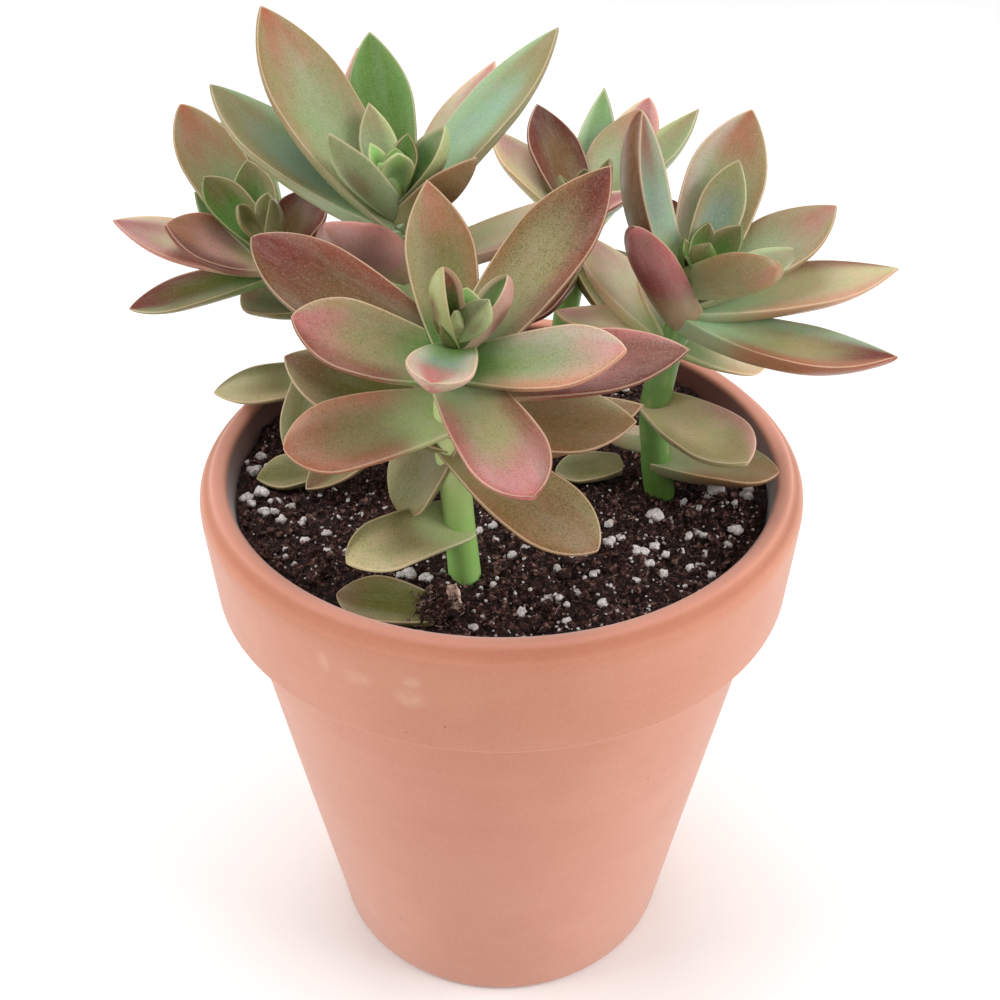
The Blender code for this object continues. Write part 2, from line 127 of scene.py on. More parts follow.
# %% Node helpers
class Finish:
    """A material in the making: a Principled shader and the nodes that feed it."""

    def __init__(self, name):
        self.material = bpy.data.materials.new(name)
        self.material.use_nodes = True
        self.tree = self.material.node_tree
        self.shader = self.tree.nodes["Principled BSDF"]
        self.place = self.tree.nodes.new("ShaderNodeTexCoord").outputs["Object"]

    def plain(self, **values):
        """Constant sockets of the shader, named with underscores for spaces."""
        for key, value in values.items():
            self.shader.inputs[key.replace("_", " ")].default_value = value

    def feed(self, socket, value):
        """Wire an output, or set a constant, on a socket."""
        if isinstance(value, bpy.types.NodeSocket):
            self.tree.links.new(value, socket)
        else:
            socket.default_value = value

    def node(self, kind, inputs, **settings):
        """Outputs of a new node with these settings, fed with these inputs."""
        node = self.tree.nodes.new("ShaderNode" + kind)
        for name, value in settings.items():
            setattr(node, name, value)
        for socket, value in inputs.items():
            self.feed(node.inputs[socket], value)
        return node.outputs

    def attribute(self, name, output):
        """Values of a layer of the mesh."""
        return self.node("Attribute", {}, attribute_name=name)[output]

    def noise(self, scale, detail=3.0, roughness=0.5, vector=None):
        """Soft noise, about 0 to 1."""
        inputs = {"Scale": scale, "Detail": detail, "Roughness": roughness}
        return self.node("TexNoise", {"Vector": vector or self.place, **inputs})["Fac"]

    def cells(self, scale, vector=None):
        """Distance to the nearest of many scattered points."""
        inputs = {"Vector": vector or self.place, "Scale": scale}
        return self.node("TexVoronoi", inputs)["Distance"]

    def stretch(self, vector, scale, offset=(0.0, 0.0, 0.0)):
        """A place scaled, then moved."""
        inputs = {"Vector": vector, "Scale": scale, "Location": offset}
        return self.node("Mapping", inputs)["Vector"]

    def ramp(self, value, low, high, start=0.0, end=1.0):
        """Value from low to high becomes start to end, clamped and eased."""
        inputs = {"Value": value, "From Min": low, "From Max": high, "To Min": start, "To Max": end}
        return self.node("MapRange", inputs, interpolation_type="SMOOTHSTEP")["Result"]

    def maths(self, operation, first, second=0.0):
        """Result of an operation on one or two values."""
        return self.node("Math", {0: first, 1: second}, operation=operation)["Value"]

    def times(self, first, second):
        """Product of two values."""
        return self.maths("MULTIPLY", first, second)

    def mix(self, share, first, second, mode="MIX"):
        """Mix of two colours, each an output or a linear colour."""
        pair = [(*tone, 1.0) if isinstance(tone, tuple) else tone for tone in (first, second)]
        # inputs 6 and 7 and output 2 are the sockets for colours
        inputs = {"Factor": share, 6: pair[0], 7: pair[1]}
        return self.node("Mix", inputs, data_type="RGBA", blend_type=mode)[2]

    def bump(self, height, distance, strength=1.0, below=None):
        """Normal bent by a height, on top of the bump below if there is one."""
        inputs = {"Height": height, "Distance": distance, "Strength": strength}
        if below is not None:
            inputs["Normal"] = below
        return self.node("Bump", inputs)["Normal"]

    def split(self, vector):
        """X, Y and Z of a vector."""
        return self.node("SeparateXYZ", {"Vector": vector})

    def length(self, vector):
        """Length of a vector."""
        return self.node("VectorMath", {0: vector}, operation="LENGTH")["Value"]

    def done(self, colour, roughness, normal):
        """Wire the shader and hand the material over."""
        self.feed(self.shader.inputs["Base Color"], colour)
        self.feed(self.shader.inputs["Roughness"], roughness)
        self.feed(self.shader.inputs["Normal"], normal)
        return self.material


# %% [markdown]
# ## Turning meshes into finished pieces
# A finished piece rides on the model's one body and hides the solid that it stands for, if
# there is one. Its object stays at the origin with its place in its mesh.

# %% Piece helper
piece_faces = {}


def finish_piece(name, bm, surface, replaced=None, sharp=180.0):
    """Make an object of a bmesh, shade it smooth and hang it on the model."""
    mesh = as_mesh(bm, name)
    mesh.materials.append(surface)
    for face in mesh.polygons:
        face.use_smooth = True
    if sharp < 180.0:
        mesh.set_sharp_from_angle(angle=math.radians(sharp))
    piece = add_object(name, mesh)
    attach(piece, "root")
    if replaced:
        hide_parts(replaced)
    mesh.calc_loop_triangles()
    piece_faces[name] = len(mesh.loop_triangles)
    print(name, "has", piece_faces[name], "triangles")


# %% [markdown]
# ## The clay pot
# A terracotta pot is thrown or pressed on a wheel, so it is a turned shape: one outline
# swept round the axis. The outline has a rolled lip, a shallow groove just under it, a deep
# band, a small step and a tapered body. Its corners are softened first, each one swapped
# for a short arc, because fired clay has no knife edges and catches light on its rounds.

# %% Pot outline
RIM_RADIUS = 54.0
RIM_HEIGHT = 108.0
BAND_FOOT = 86.0
POT_STEPS = 160
LONGEST_FACE = 6.0
# below this height the foot is left truly flat
FLAT_FOOT = 2.0

# radius, height and rounding of each corner, in mm
POT_CORNERS = [
    (51.3, RIM_HEIGHT + 0.1, 1.5),
    (52.1, 106.7, 0.8),
    (53.1, 106.2, 0.8),
    (RIM_RADIUS, 104.7, 1.6),
    (53.8, 101.0, 3.0),
    (52.75, BAND_FOOT + 0.1, 0.5),
    (51.9, BAND_FOOT, 0.4),
    (49.2, BAND_FOOT, 0.7),
    (48.7, BAND_FOOT - 1.2, 1.0),
    (33.95, 0.0, 1.4),
    (6.2, 0.0, 0.5),
    (6.0, 6.0, 0.7),
    (29.6, 6.0, 2.4),
    (44.0, 84.0, 6.0),
    (46.8, 92.0, 4.0),
    (48.35, 104.6, 1.5),
    (48.9, 107.6, 1.0),
]


def rounded(corners, pieces=5):
    """Closed outline with each corner swapped for a short arc."""
    points = []
    count = len(corners)
    for index, (radius, height, rounding) in enumerate(corners):
        here = Vector((radius, height))
        before = Vector(corners[index - 1][:2])
        after = Vector(corners[(index + 1) % count][:2])
        reach_in = min(rounding, (before - here).length * 0.45)
        reach_out = min(rounding, (after - here).length * 0.45)
        start = here + (before - here).normalized() * reach_in
        end = here + (after - here).normalized() * reach_out
        for step in range(pieces + 1):
            t = step / pieces
            points.append(start * (1 - t) ** 2 + here * 2 * t * (1 - t) + end * t * t)
    return points


def long_runs_split(points, most):
    """Add points along the straight runs, so that no side face is very long."""
    out = []
    for here, ahead in zip(points, points[1:] + points[:1]):
        out.append(here)
        extra = int((ahead - here).length / most)
        for step in range(extra):
            out.append(here.lerp(ahead, (step + 1) / (extra + 1)))
    return out


# %% Pot body
def turned_body(points, steps):
    """Bmesh of a closed outline turned about the Z axis."""
    bm = bmesh.new()
    verts = [bm.verts.new((p.x * MM, 0.0, p.y * MM)) for p in points]
    edges = [bm.edges.new((a, b)) for a, b in zip(verts, verts[1:] + verts[:1])]
    bmesh.ops.spin(
        bm,
        geom=verts + edges,
        cent=(0.0, 0.0, 0.0),
        axis=(0.0, 0.0, 1.0),
        angle=math.tau,
        steps=steps,
        use_merge=True,
    )
    bmesh.ops.remove_doubles(bm, verts=bm.verts, dist=0.004 * MM)
    outward(bm)
    return bm


pot_mesh = turned_body(long_runs_split(rounded(POT_CORNERS), LONGEST_FACE), POT_STEPS)
for vert in pot_mesh.verts:
    # no pot is truly round: this one wanders by up to a tenth of a millimetre
    wander = noise.noise(vert.co * 22.0) * 0.10 + noise.noise(vert.co * 60.0) * 0.02
    flat = Vector((vert.co.x, vert.co.y, 0.0)).normalized()
    if vert.co.z > FLAT_FOOT * MM:
        vert.co += flat * wander * MM

# %% [markdown]
# ### Terracotta
# Bare fired clay is matt, with fine grain, faint turning rings, slow shifts of tone, a few
# dark specks and, where water has dried on the band, pale smudges of lime. A little sheen
# stands in for the dusty surface, which looks paler where it turns away from the eye.

# %% Clay material
clay = Finish("terracotta")
slow = clay.noise(20.0, 3.0, 0.55)
patches = clay.noise(70.0, 4.0, 0.6)
grain = clay.noise(1700.0, 2.0, 0.6)
rings = clay.noise(7.0, 4.0, 0.6, clay.stretch(clay.place, (1.0, 1.0, 30.0)))
tone = clay.mix(clay.ramp(slow, 0.3, 0.7), linear((196, 128, 101)), linear((203, 137, 110)))
tone = clay.mix(clay.ramp(patches, 0.42, 0.72, 0.0, 0.3), tone, linear((190, 121, 94)))
tone = clay.mix(clay.ramp(rings, 0.35, 0.7, 0.0, 0.14), tone, linear((184, 113, 87)))
tone = clay.mix(clay.ramp(grain, 0.3, 0.7, 0.0, 0.10), tone, linear((226, 172, 150)))
specks = clay.cells(260.0)
speck_mask = clay.times(clay.ramp(specks, 0.075, 0.03), clay.ramp(patches, 0.5, 0.62))
tone = clay.mix(clay.times(speck_mask, 0.6), tone, linear((92, 54, 42)))

# centre and half size in mm of each pale smudge, and the share of it at full strength
SMUDGES = [
    ((-28.3, -45.4, 99.6), (1.7, 4.0, 3.4), 0.1),
    ((-22.8, -48.3, 98.5), (3.8, 5.0, 2.2), 0.1),
    ((-14.4, -51.9, 97.0), (3.6, 5.0, 3.0), 0.1),
    ((-14.0, -51.9, 100.6), (2.0, 5.0, 1.6), 0.3),
]


def smudge(centre, size, softness):
    """Mask of a soft round patch at a place on the pot, broken up by noise."""
    scale = tuple(1.0 / (s * MM) for s in size)
    offset = tuple(-c / s for c, s in zip(centre, size))
    mask = clay.ramp(clay.length(clay.stretch(clay.place, scale, offset)), 1.0, softness)
    return clay.times(mask, clay.ramp(clay.noise(330.0, 5.0, 0.6), 0.3, 0.7, 0.25, 1.0))


for centre, size, softness in SMUDGES:
    dried = clay.times(smudge(centre, size, softness), 0.42)
    tone = clay.mix(dried, tone, linear((226, 188, 164)))

# %% [markdown]
# The groove under the lip is painted darker, a painted shade line, and the top of the lip is
# painted paler, a painted highlight. The inner wall above the mix is painted a deeper brown,
# painted shade where the plant keeps the light off it. All are masks made from the height and
# the distance to the axis.

# %% Painted shade and highlight on the clay
GROOVE_HEIGHT = 106.6 * MM
# each pair is where a mask starts and where it is complete
GROOVE_FADE = (1.1 * MM, 0.1 * MM)
OUTER_WALL = (50.7 * MM, 51.6 * MM)
LIP_TOP = (107.0 * MM, 107.8 * MM)
INNER_WALL = (49.6 * MM, 48.7 * MM)
WALL_SHADE_TOP = (108.2 * MM, 106.4 * MM)
WALL_SHADE_FOOT = (90.0 * MM, 94.0 * MM)

height_above = clay.split(clay.place)["Z"]
distance_out = clay.length(clay.stretch(clay.place, (1.0, 1.0, 0.0)))
# painted shade: a darker band of colour along the groove under the lip
painted_groove_shade = clay.maths("ABSOLUTE", clay.maths("SUBTRACT", height_above, GROOVE_HEIGHT))
painted_groove_shade = clay.ramp(painted_groove_shade, *GROOVE_FADE)
painted_groove_shade = clay.times(painted_groove_shade, clay.ramp(distance_out, *OUTER_WALL))
tone = clay.mix(clay.times(painted_groove_shade, 0.34), tone, linear((172, 98, 72)))
# painted highlight: the top of the lip is made paler in colour
painted_lip_highlight = clay.ramp(height_above, *LIP_TOP, 0.0, 0.45)
tone = clay.mix(painted_lip_highlight, tone, linear((214, 150, 134)))
# painted shade: the inner wall above the mix is made a deeper brown in colour
painted_wall_shade = clay.ramp(distance_out, *INNER_WALL)
painted_wall_shade = clay.times(painted_wall_shade, clay.ramp(height_above, *WALL_SHADE_TOP))
painted_wall_shade = clay.times(painted_wall_shade, clay.ramp(height_above, *WALL_SHADE_FOOT))
tone = clay.mix(clay.times(painted_wall_shade, 0.92), tone, linear((78, 30, 17)))

clay.plain(Sheen_Weight=0.5, Sheen_Roughness=0.45, Specular_IOR_Level=0.25)
clay_bump = clay.bump(grain, 0.00005, 0.5)
clay_bump = clay.bump(rings, 0.00008, 0.5, clay_bump)
clay_bump = clay.bump(patches, 0.0002, 0.35, clay_bump)
clay_surface = clay.done(tone, clay.ramp(patches, 0.2, 0.8, 0.78, 0.92), clay_bump)

finish_piece("clay_pot", pot_mesh, clay_surface, "pot", sharp=60.0)

# %% [markdown]
# ## The potting mix
# The pot is filled with a dark peaty mix to a few millimetres below the rim. From a step
# away it is a rough dark surface. Close up it is crumbs, short reddish fibres and white
# popped grains of perlite. The body comes first: a square grid is pressed into a disc, its
# height is stirred with noise, and its edge is pulled down the wall to a closed bottom.

# %% Soil surface
SOIL_LEVEL = 103.0
SOIL_RADIUS = 47.75
SOIL_GRID = 190
# radius and height in mm of each step down the hidden side
SOIL_SKIRT = [(46.2, 90.0), (43.0, 80.0), (34.0, 30.0), (27.8, 6.4)]

# where the stems stand in the soil, and how far round each no grain goes
STEM_FEET = [(-6.1, -27.7), (-14.6, 7.9), (-28.2, 20.0), (28.4, -3.9), (10.7, 28.0)]
STEM_KEEP = 3.3


def surface_height(x, y):
    """Height of the solid soil's surface in mm at a place in mm."""
    swell = math.sin(0.21 * x + 0.8) * math.cos(0.19 * y - 0.5)
    lumps = math.sin(0.53 * x - 0.31 * y + 1.1) * math.cos(0.47 * y + 0.22 * x)
    return SOIL_LEVEL + 0.55 * (0.6 * swell + 0.5 * lumps)


def crumbly_height(x, y):
    """The same surface with clods, crumbs and pits."""
    spot = Vector((x, y, 0.0))
    clods = noise.fractal(spot * 0.22, 0.9, 2.1, 3)
    crumbs = abs(noise.noise(spot * 0.75 + Vector((7.0, 3.0, 1.0))))
    fine = noise.fractal(spot * 1.9, 0.7, 2.2, 2)
    return surface_height(x, y) + 0.7 * clods + 1.5 * crumbs - 0.5 + 0.45 * fine


def on_disc(u, v):
    """Square of side 2 pressed into the unit disc."""
    return u * math.sqrt(1.0 - v * v / 2.0), v * math.sqrt(1.0 - u * u / 2.0)


soil_mesh = bmesh.new()
bmesh.ops.create_grid(soil_mesh, x_segments=SOIL_GRID, y_segments=SOIL_GRID, size=1.0)
for vert in soil_mesh.verts:
    x, y = on_disc(vert.co.x, vert.co.y)
    x *= SOIL_RADIUS
    y *= SOIL_RADIUS
    vert.co = Vector((x, y, crumbly_height(x, y))) * MM
outer_edges = [edge for edge in soil_mesh.edges if edge.is_boundary]
for radius, height in SOIL_SKIRT:
    skirt = bmesh.ops.extrude_edge_only(soil_mesh, edges=outer_edges)
    lower = [item for item in skirt["geom"] if isinstance(item, bmesh.types.BMVert)]
    for vert in lower:
        flat = Vector((vert.co.x, vert.co.y, 0.0)).normalized() * radius
        vert.co = Vector((flat.x, flat.y, height)) * MM
    outer_edges = [
        item for item in skirt["geom"]
        if isinstance(item, bmesh.types.BMEdge) and item.is_boundary
    ]
bmesh.ops.holes_fill(soil_mesh, edges=outer_edges, sides=0)
outward(soil_mesh)

# %% [markdown]
# ### Peat
# Peat is nearly black where it is damp and in its pits, and red-brown where fibres dry on
# top. One material serves the body, the crumbs and the fibres, with its own share of light
# fibre colour on each, so they look like one mix.


# %% Peat materials
def peat_finish(name, dark, light, bias):
    """Peat with a share of lighter red-brown bits."""
    peat = Finish(name)
    bits = peat.noise(900.0, 3.0, 0.7)
    clods = peat.noise(210.0, 4.0, 0.6)
    streaks = peat.noise(500.0, 3.0, 0.6, peat.stretch(peat.place, (1.0, 3.5, 1.0)))
    colour = peat.mix(peat.ramp(bits, bias, bias + 0.25), linear(dark), linear(light))
    colour = peat.mix(peat.ramp(clods, 0.4, 0.7, 0.0, 0.6), colour, linear(dark))
    colour = peat.mix(peat.ramp(streaks, 0.60, 0.70, 0.0, 0.4), colour, linear((160, 124, 114)))
    peat.plain(Specular_IOR_Level=0.3)
    bumped = peat.bump(bits, 0.0004, 0.8)
    bumped = peat.bump(clods, 0.0008, 0.5, bumped)
    return peat.done(colour, peat.ramp(bits, 0.3, 0.7, 0.75, 0.95), bumped)


peat_body = peat_finish("peat_body", (25, 8, 7), (118, 76, 68), 0.47)
peat_crumb = peat_finish("peat_crumb", (40, 16, 14), (172, 130, 120), 0.48)
peat_fibre = peat_finish("peat_fibre", (64, 34, 29), (226, 194, 180), 0.47)
finish_piece("soil_body", soil_mesh, peat_body, "soil")

# %% [markdown]
# ### Crumbs, fibres and perlite
# Loose bits are copies of a few small shapes, each turned and scaled by a seeded draw and
# dropped onto the surface. A crumb is a ball of twenty faces pushed out of shape, a fibre a
# bent three-sided thread. A perlite grain is a popped cluster of small balls.

# %% Small shapes to sow
SEED = 4711

draw = random.Random(SEED)
# without a seed of its own, noise_vector gives other values each time Blender starts
noise.seed_set(SEED)


def crumb_shape(number, detail, rough):
    """Ball of about 1 mm across, pushed out of shape."""
    bm = bmesh.new()
    bmesh.ops.create_icosphere(bm, subdivisions=detail, radius=0.5)
    for vert in bm.verts:
        push = noise.noise(vert.co * 2.6 + Vector((number * 5.1, 2.0, 9.0)))
        vert.co *= 1.0 + rough * push
    return as_mesh(bm, f"crumb_shape_{number}")


def fibre_shape(number):
    """Bent thread of about 1 mm, three-sided and thin at both ends."""
    bm = bmesh.new()
    bmesh.ops.create_cone(bm, cap_ends=True, segments=3, radius1=0.05, radius2=0.05, depth=1.0)
    bmesh.ops.subdivide_edges(
        bm,
        edges=[e for e in bm.edges if abs(e.verts[0].co.z - e.verts[1].co.z) > 0.5],
        cuts=4,
        use_grid_fill=True,
    )
    turn = number * 1.3
    for vert in bm.verts:
        z = vert.co.z
        thin = 1.0 - 1.6 * z * z
        vert.co.x = vert.co.x * thin + 0.16 * math.sin(2.4 * z + turn)
        vert.co.y = vert.co.y * thin + 0.08 * math.cos(4.0 * z + turn * 2.0)
    return as_mesh(bm, f"fibre_shape_{number}")


def popped_shape(number, balls, detail):
    """Cluster of small balls, like a popped grain."""
    bm = bmesh.new()
    own = random.Random(100 + number)
    for ball in range(balls):
        made = bmesh.ops.create_icosphere(bm, subdivisions=detail, radius=own.uniform(0.2, 0.32))
        shift = Vector((own.uniform(-1, 1), own.uniform(-1, 1), own.uniform(-0.5, 0.5))) * 0.24
        for vert in made["verts"]:
            push = noise.noise(vert.co * 7.0 + Vector((number * 3.0, ball * 2.0, 0.0)))
            vert.co = vert.co * (1.0 + 0.5 * push) + shift
    return as_mesh(bm, f"popped_shape_{number}")


crumb_shapes = [crumb_shape(number, detail=1, rough=0.9) for number in range(6)]
fibre_shapes = [fibre_shape(number) for number in range(6)]
grain_shapes = [crumb_shape(20 + number, detail=2, rough=0.7) for number in range(4)]
speck_shapes = [crumb_shape(30 + number, detail=1, rough=0.6) for number in range(4)]
popped_shapes = [popped_shape(number, balls=6, detail=2) for number in range(5)]


# %% Sowing
def clear_of_stems(x, y, radius):
    """True where a bit of that radius touches no stem."""
    return all(math.hypot(x - a, y - b) > STEM_KEEP + radius for a, b in STEM_FEET)


def place_on_disc(reach):
    """Even random draw of a place on the soil."""
    away = reach * math.sqrt(draw.random())
    turn = draw.uniform(0.0, math.tau)
    return away * math.cos(turn), away * math.sin(turn)


class Heap:
    """Many small copies gathered in batches, which keeps the gathering quick."""

    BATCH = 90

    def __init__(self):
        self.total = bmesh.new()
        self.batch = bmesh.new()
        self.waiting = 0

    def add(self, shape, matrix):
        """Put a copy of a shape at a place."""
        copy = shape.copy()
        copy.transform(matrix)
        self.batch.from_mesh(copy)
        bpy.data.meshes.remove(copy)
        self.waiting += 1
        if self.waiting == self.BATCH:
            self.settle()

    def settle(self):
        """Move the batch to the total."""
        mesh = as_mesh(self.batch, "batch")
        self.total.from_mesh(mesh)
        bpy.data.meshes.remove(mesh)
        self.batch = bmesh.new()
        self.waiting = 0

    def whole(self):
        """The bmesh of all the copies."""
        self.settle()
        self.batch.free()
        return self.total


def spread(x, y, height, turn, lean, size):
    """Matrix that scales a shape, leans it, turns it and puts it at a place in mm."""
    return (
        Matrix.Translation(Vector((x, y, height)) * MM)
        @ Matrix.Rotation(turn, 4, "Z")
        @ Matrix.Rotation(lean, 4, "X")
        @ Matrix.Diagonal((size[0] * MM, size[1] * MM, size[2] * MM, 1.0))
    )


def drop(heap, shape, x, y, size, sink, tilt=math.pi):
    """Add one turned and scaled copy of a small shape at a place on the soil."""
    turn = draw.uniform(0.0, math.tau)
    lean = draw.uniform(-tilt, tilt)
    heap.add(shape, spread(x, y, crumbly_height(x, y) + size[2] * sink, turn, lean, size))


# fallen leaves as line segments with a half width, kept free of loose bits
LEAF_BEDS = [
    ((-10.0, -39.0), (-26.7, -36.0), 4.0),
    ((22.0, 1.0), (9.6, -0.8), 3.2),
    ((-31.0, 1.0), (-44.0, -2.5), 3.6),
]


def clear_of_leaves(x, y, extra):
    """True where a place is off the fallen leaves."""
    for start, end, half in LEAF_BEDS:
        a = Vector(start)
        b = Vector(end)
        p = Vector((x, y))
        share = min(max((p - a).dot(b - a) / (b - a).length_squared, 0.0), 1.0)
        if (p - a.lerp(b, share)).length < half + extra:
            return False
    return True


# how many bits are drawn, and how far from the axis in mm they may lie
CRUMBS = 5600
CRUMB_REACH = 46.6
FIBRES = 5200
FIBRE_REACH = 46.2
# a few bits are clods, this much bigger than the rest
CLOD_GROWTH = 2.2
# the mix that has slid over the root end of the fallen leaf in front
SLID_LEVEL = 104.0
SLID_DEPTH = 1.8
SLID_CRUMBS = 260
SLID_FIBRES = 150


def bit_size(least, most, clods):
    """Random size in mm, grown for the share of bits that are clods."""
    return draw.uniform(least, most) * (CLOD_GROWTH if draw.random() < clods else 1.0)


def slid_place(x, y, wide):
    """Random place in mm round the middle of the slid mix."""
    return x + draw.gauss(0.0, wide), y + draw.gauss(0.0, SLID_DEPTH)


def lying():
    """Random lean of a fibre that lies down."""
    return math.radians(90.0 + draw.uniform(-30.0, 30.0))


crumbs = Heap()
for count in range(CRUMBS):
    x, y = place_on_disc(CRUMB_REACH)
    size = bit_size(0.4, 1.0, 0.14)
    if clear_of_stems(x, y, size * 0.4 - 0.5) and clear_of_leaves(x, y, size * 0.4):
        squash = (size * draw.uniform(0.8, 1.3), size, size * draw.uniform(0.6, 1.0))
        drop(crumbs, draw.choice(crumb_shapes), x, y, squash, 0.15)
for count in range(SLID_CRUMBS):
    x, y = slid_place(-10.6, -38.2, 1.5)
    size = draw.uniform(0.35, 1.0)
    height = SLID_LEVEL + draw.uniform(0.2, 1.7)
    squash = (size * 1.2, size * 0.7, size * 0.5)
    turn = draw.uniform(0.0, math.tau)
    shape = draw.choice(crumb_shapes)
    crumbs.add(shape, spread(x, y, height, turn, draw.uniform(0.0, 3.0), squash))
finish_piece("soil_crumbs", crumbs.whole(), peat_crumb, sharp=28.0)

fibres = Heap()
for count in range(FIBRES):
    x, y = place_on_disc(FIBRE_REACH)
    length = draw.uniform(0.6, 2.4)
    thick = draw.uniform(0.6, 1.7)
    if clear_of_stems(x, y, length * 0.3 - 0.6) and clear_of_leaves(x, y, length * 0.25):
        lean = lying()
        turn = draw.uniform(0.0, math.tau)
        height = crumbly_height(x, y) + draw.uniform(0.05, 0.6)
        shape = draw.choice(fibre_shapes)
        fibres.add(shape, spread(x, y, height, turn, lean, (thick, thick, length)))
for count in range(SLID_FIBRES):
    x, y = slid_place(-10.2, -38.4, 1.7)
    length = draw.uniform(0.8, 2.2)
    turn = draw.uniform(0.0, math.tau)
    lean = lying()
    shape = draw.choice(fibre_shapes)
    height = SLID_LEVEL + draw.uniform(0.4, 2.1)
    fibres.add(shape, spread(x, y, height, turn, lean, (1.6, 1.6, length)))
finish_piece("soil_fibres", fibres.whole(), peat_fibre)

# one chip of bark stands between the front stem and the rim
CHIP_SIZE = (1.8, 1.3, 5.2)
CHIP_PLACE = Vector((-7.6, -36.6, 104.7))
CHIP_LEAN = Matrix.Rotation(-0.16, 3, "Y")

chip = bmesh.new()
bmesh.ops.create_cube(chip, size=1.0)
bmesh.ops.subdivide_edges(chip, edges=chip.edges[:], cuts=7, use_grid_fill=True)
for vert in chip.verts:
    shape = Vector([part * size for part, size in zip(vert.co, CHIP_SIZE)])
    shape.x *= 1.0 - 0.25 * abs(vert.co.z)
    shape += noise.noise_vector(shape * 0.9) * 0.35 + noise.noise_vector(shape * 3.0) * 0.20
    vert.co = (CHIP_LEAN @ shape + CHIP_PLACE) * MM
outward(chip)
bark = peat_finish("bark_chip", (110, 66, 50), (242, 212, 192), 0.33)
finish_piece("bark_chip", chip, bark)

# %% [markdown]
# ### Perlite
# The white grains are volcanic glass that was popped with heat. They are matt and nearly
# white, with grey pores and a little brown dust from the peat. The biggest ones are placed
# one by one where they catch the eye, and the rest are sown by the draw.

# %% Perlite grains
# x, y and size in mm of the grains that stand out
BIG_GRAINS = [
    (27.0, -12.2, 4.4), (38.0, -5.0, 3.6), (44.0, -5.2, 4.0), (18.4, -20.2, 3.0), (23.6, -21.8, 4.0),
    (20.4, -19.2, 2.0), (26.2, -21.0, 2.6), (-15.2, -28.4, 3.4), (-12.4, -29.6, 2.6), (-44.6, 7.6, 3.0),
    (-46.0, 4.4, 2.4), (-45.0, 2.4, 3.4), (-42.8, 3.2, 2.4), (-45.2, -6.4, 3.0), (-42.6, -6.2, 3.4),
    (-44.2, -9.0, 2.4), (-40.0, -8.2, 3.0), (-41.4, -11.2, 2.6), (-37.4, -9.4, 2.4), (-38.2, -13.6, 1.8),
    (-34.6, -13.6, 2.4), (-30.2, -16.2, 2.6), (-33.6, -19.0, 1.8), (-29.6, -21.4, 1.6), (9.4, -26.4, 2.2),
    (12.6, -32.2, 2.2), (7.6, -34.0, 1.6), (3.2, -38.4, 1.8), (15.2, -28.2, 1.4), (22.4, -29.4, 1.6),
    (24.8, -25.6, 1.8), (30.4, -22.0, 1.4), (31.4, -27.6, 1.6), (40.4, -16.8, 3.0), (38.6, -19.6, 1.6),
    (33.8, -16.4, 1.6), (34.8, -9.6, 1.4), (1.8, -23.0, 1.6), (-1.4, -31.0, 1.2), (13.8, -22.6, 1.4),
    (-4.6, -41.6, 1.4), (16.2, -36.2, 1.8), (10.4, -40.4, 1.4), (-12.8, -43.8, 1.2), (30.2, 11.0, 2.2),
    (36.0, 9.0, 1.8), (-12.0, 32.0, 3.0), (24.0, 30.0, 2.8), (-2.0, 40.0, 2.2), (-30.0, 33.0, 2.4),
    (14.0, 19.0, 2.6), (3.0, 10.0, 2.0), (34.0, 26.0, 2.0), (-20.0, -2.0, 2.2), (-36.0, 8.0, 2.2),
]
SMALL_GRAINS = 1500
GRAIN_REACH = 46.4

grains = Heap()
for x, y, size in BIG_GRAINS:
    shapes = popped_shapes if size > 1.9 else grain_shapes
    drop(grains, draw.choice(shapes), x, y, (size, size * 0.9, size * 0.8), 0.14, 0.5)
for count in range(SMALL_GRAINS):
    x, y = place_on_disc(GRAIN_REACH)
    size = bit_size(0.22, 0.75, 0.10)
    if clear_of_stems(x, y, size * 0.4) and clear_of_leaves(x, y, size * 0.4):
        shapes = grain_shapes if size > 0.7 else speck_shapes
        drop(grains, draw.choice(shapes), x, y, (size, size, size * 0.85), 0.3)

perlite = Finish("perlite")
pits = perlite.noise(2600.0, 2.0, 0.6)
dust = perlite.noise(700.0, 3.0, 0.6)
pitted = perlite.ramp(pits, 0.35, 0.65)
white = perlite.mix(pitted, linear((196, 186, 184)), linear((236, 230, 228)))
white = perlite.mix(perlite.ramp(dust, 0.52, 0.72, 0.0, 0.6), white, linear((140, 116, 108)))
perlite.plain(Specular_IOR_Level=0.35)
perlite_surface = perlite.done(white, 0.85, perlite.bump(pits, 0.0002, 0.8))
finish_piece("perlite_grains", grains.whole(), perlite_surface)

# %% [markdown]
# ## The leaves
# A leaf of this plant is thick and boat-shaped: the upper face is nearly flat and a little
# hollow, the lower one is a keel, and the tip runs to a point. It could be sculpted, but
# a hundred leaves ask for a rule. So each one starts as a sphere whose rings are laid out
# along the leaf, with the same measures as the solid: where it grows on the stem, where it
# points, its length and width, its curl, its roll and how blunt the tip is. Each row ends
# with the name of a colouring and with how freckled the leaf is.

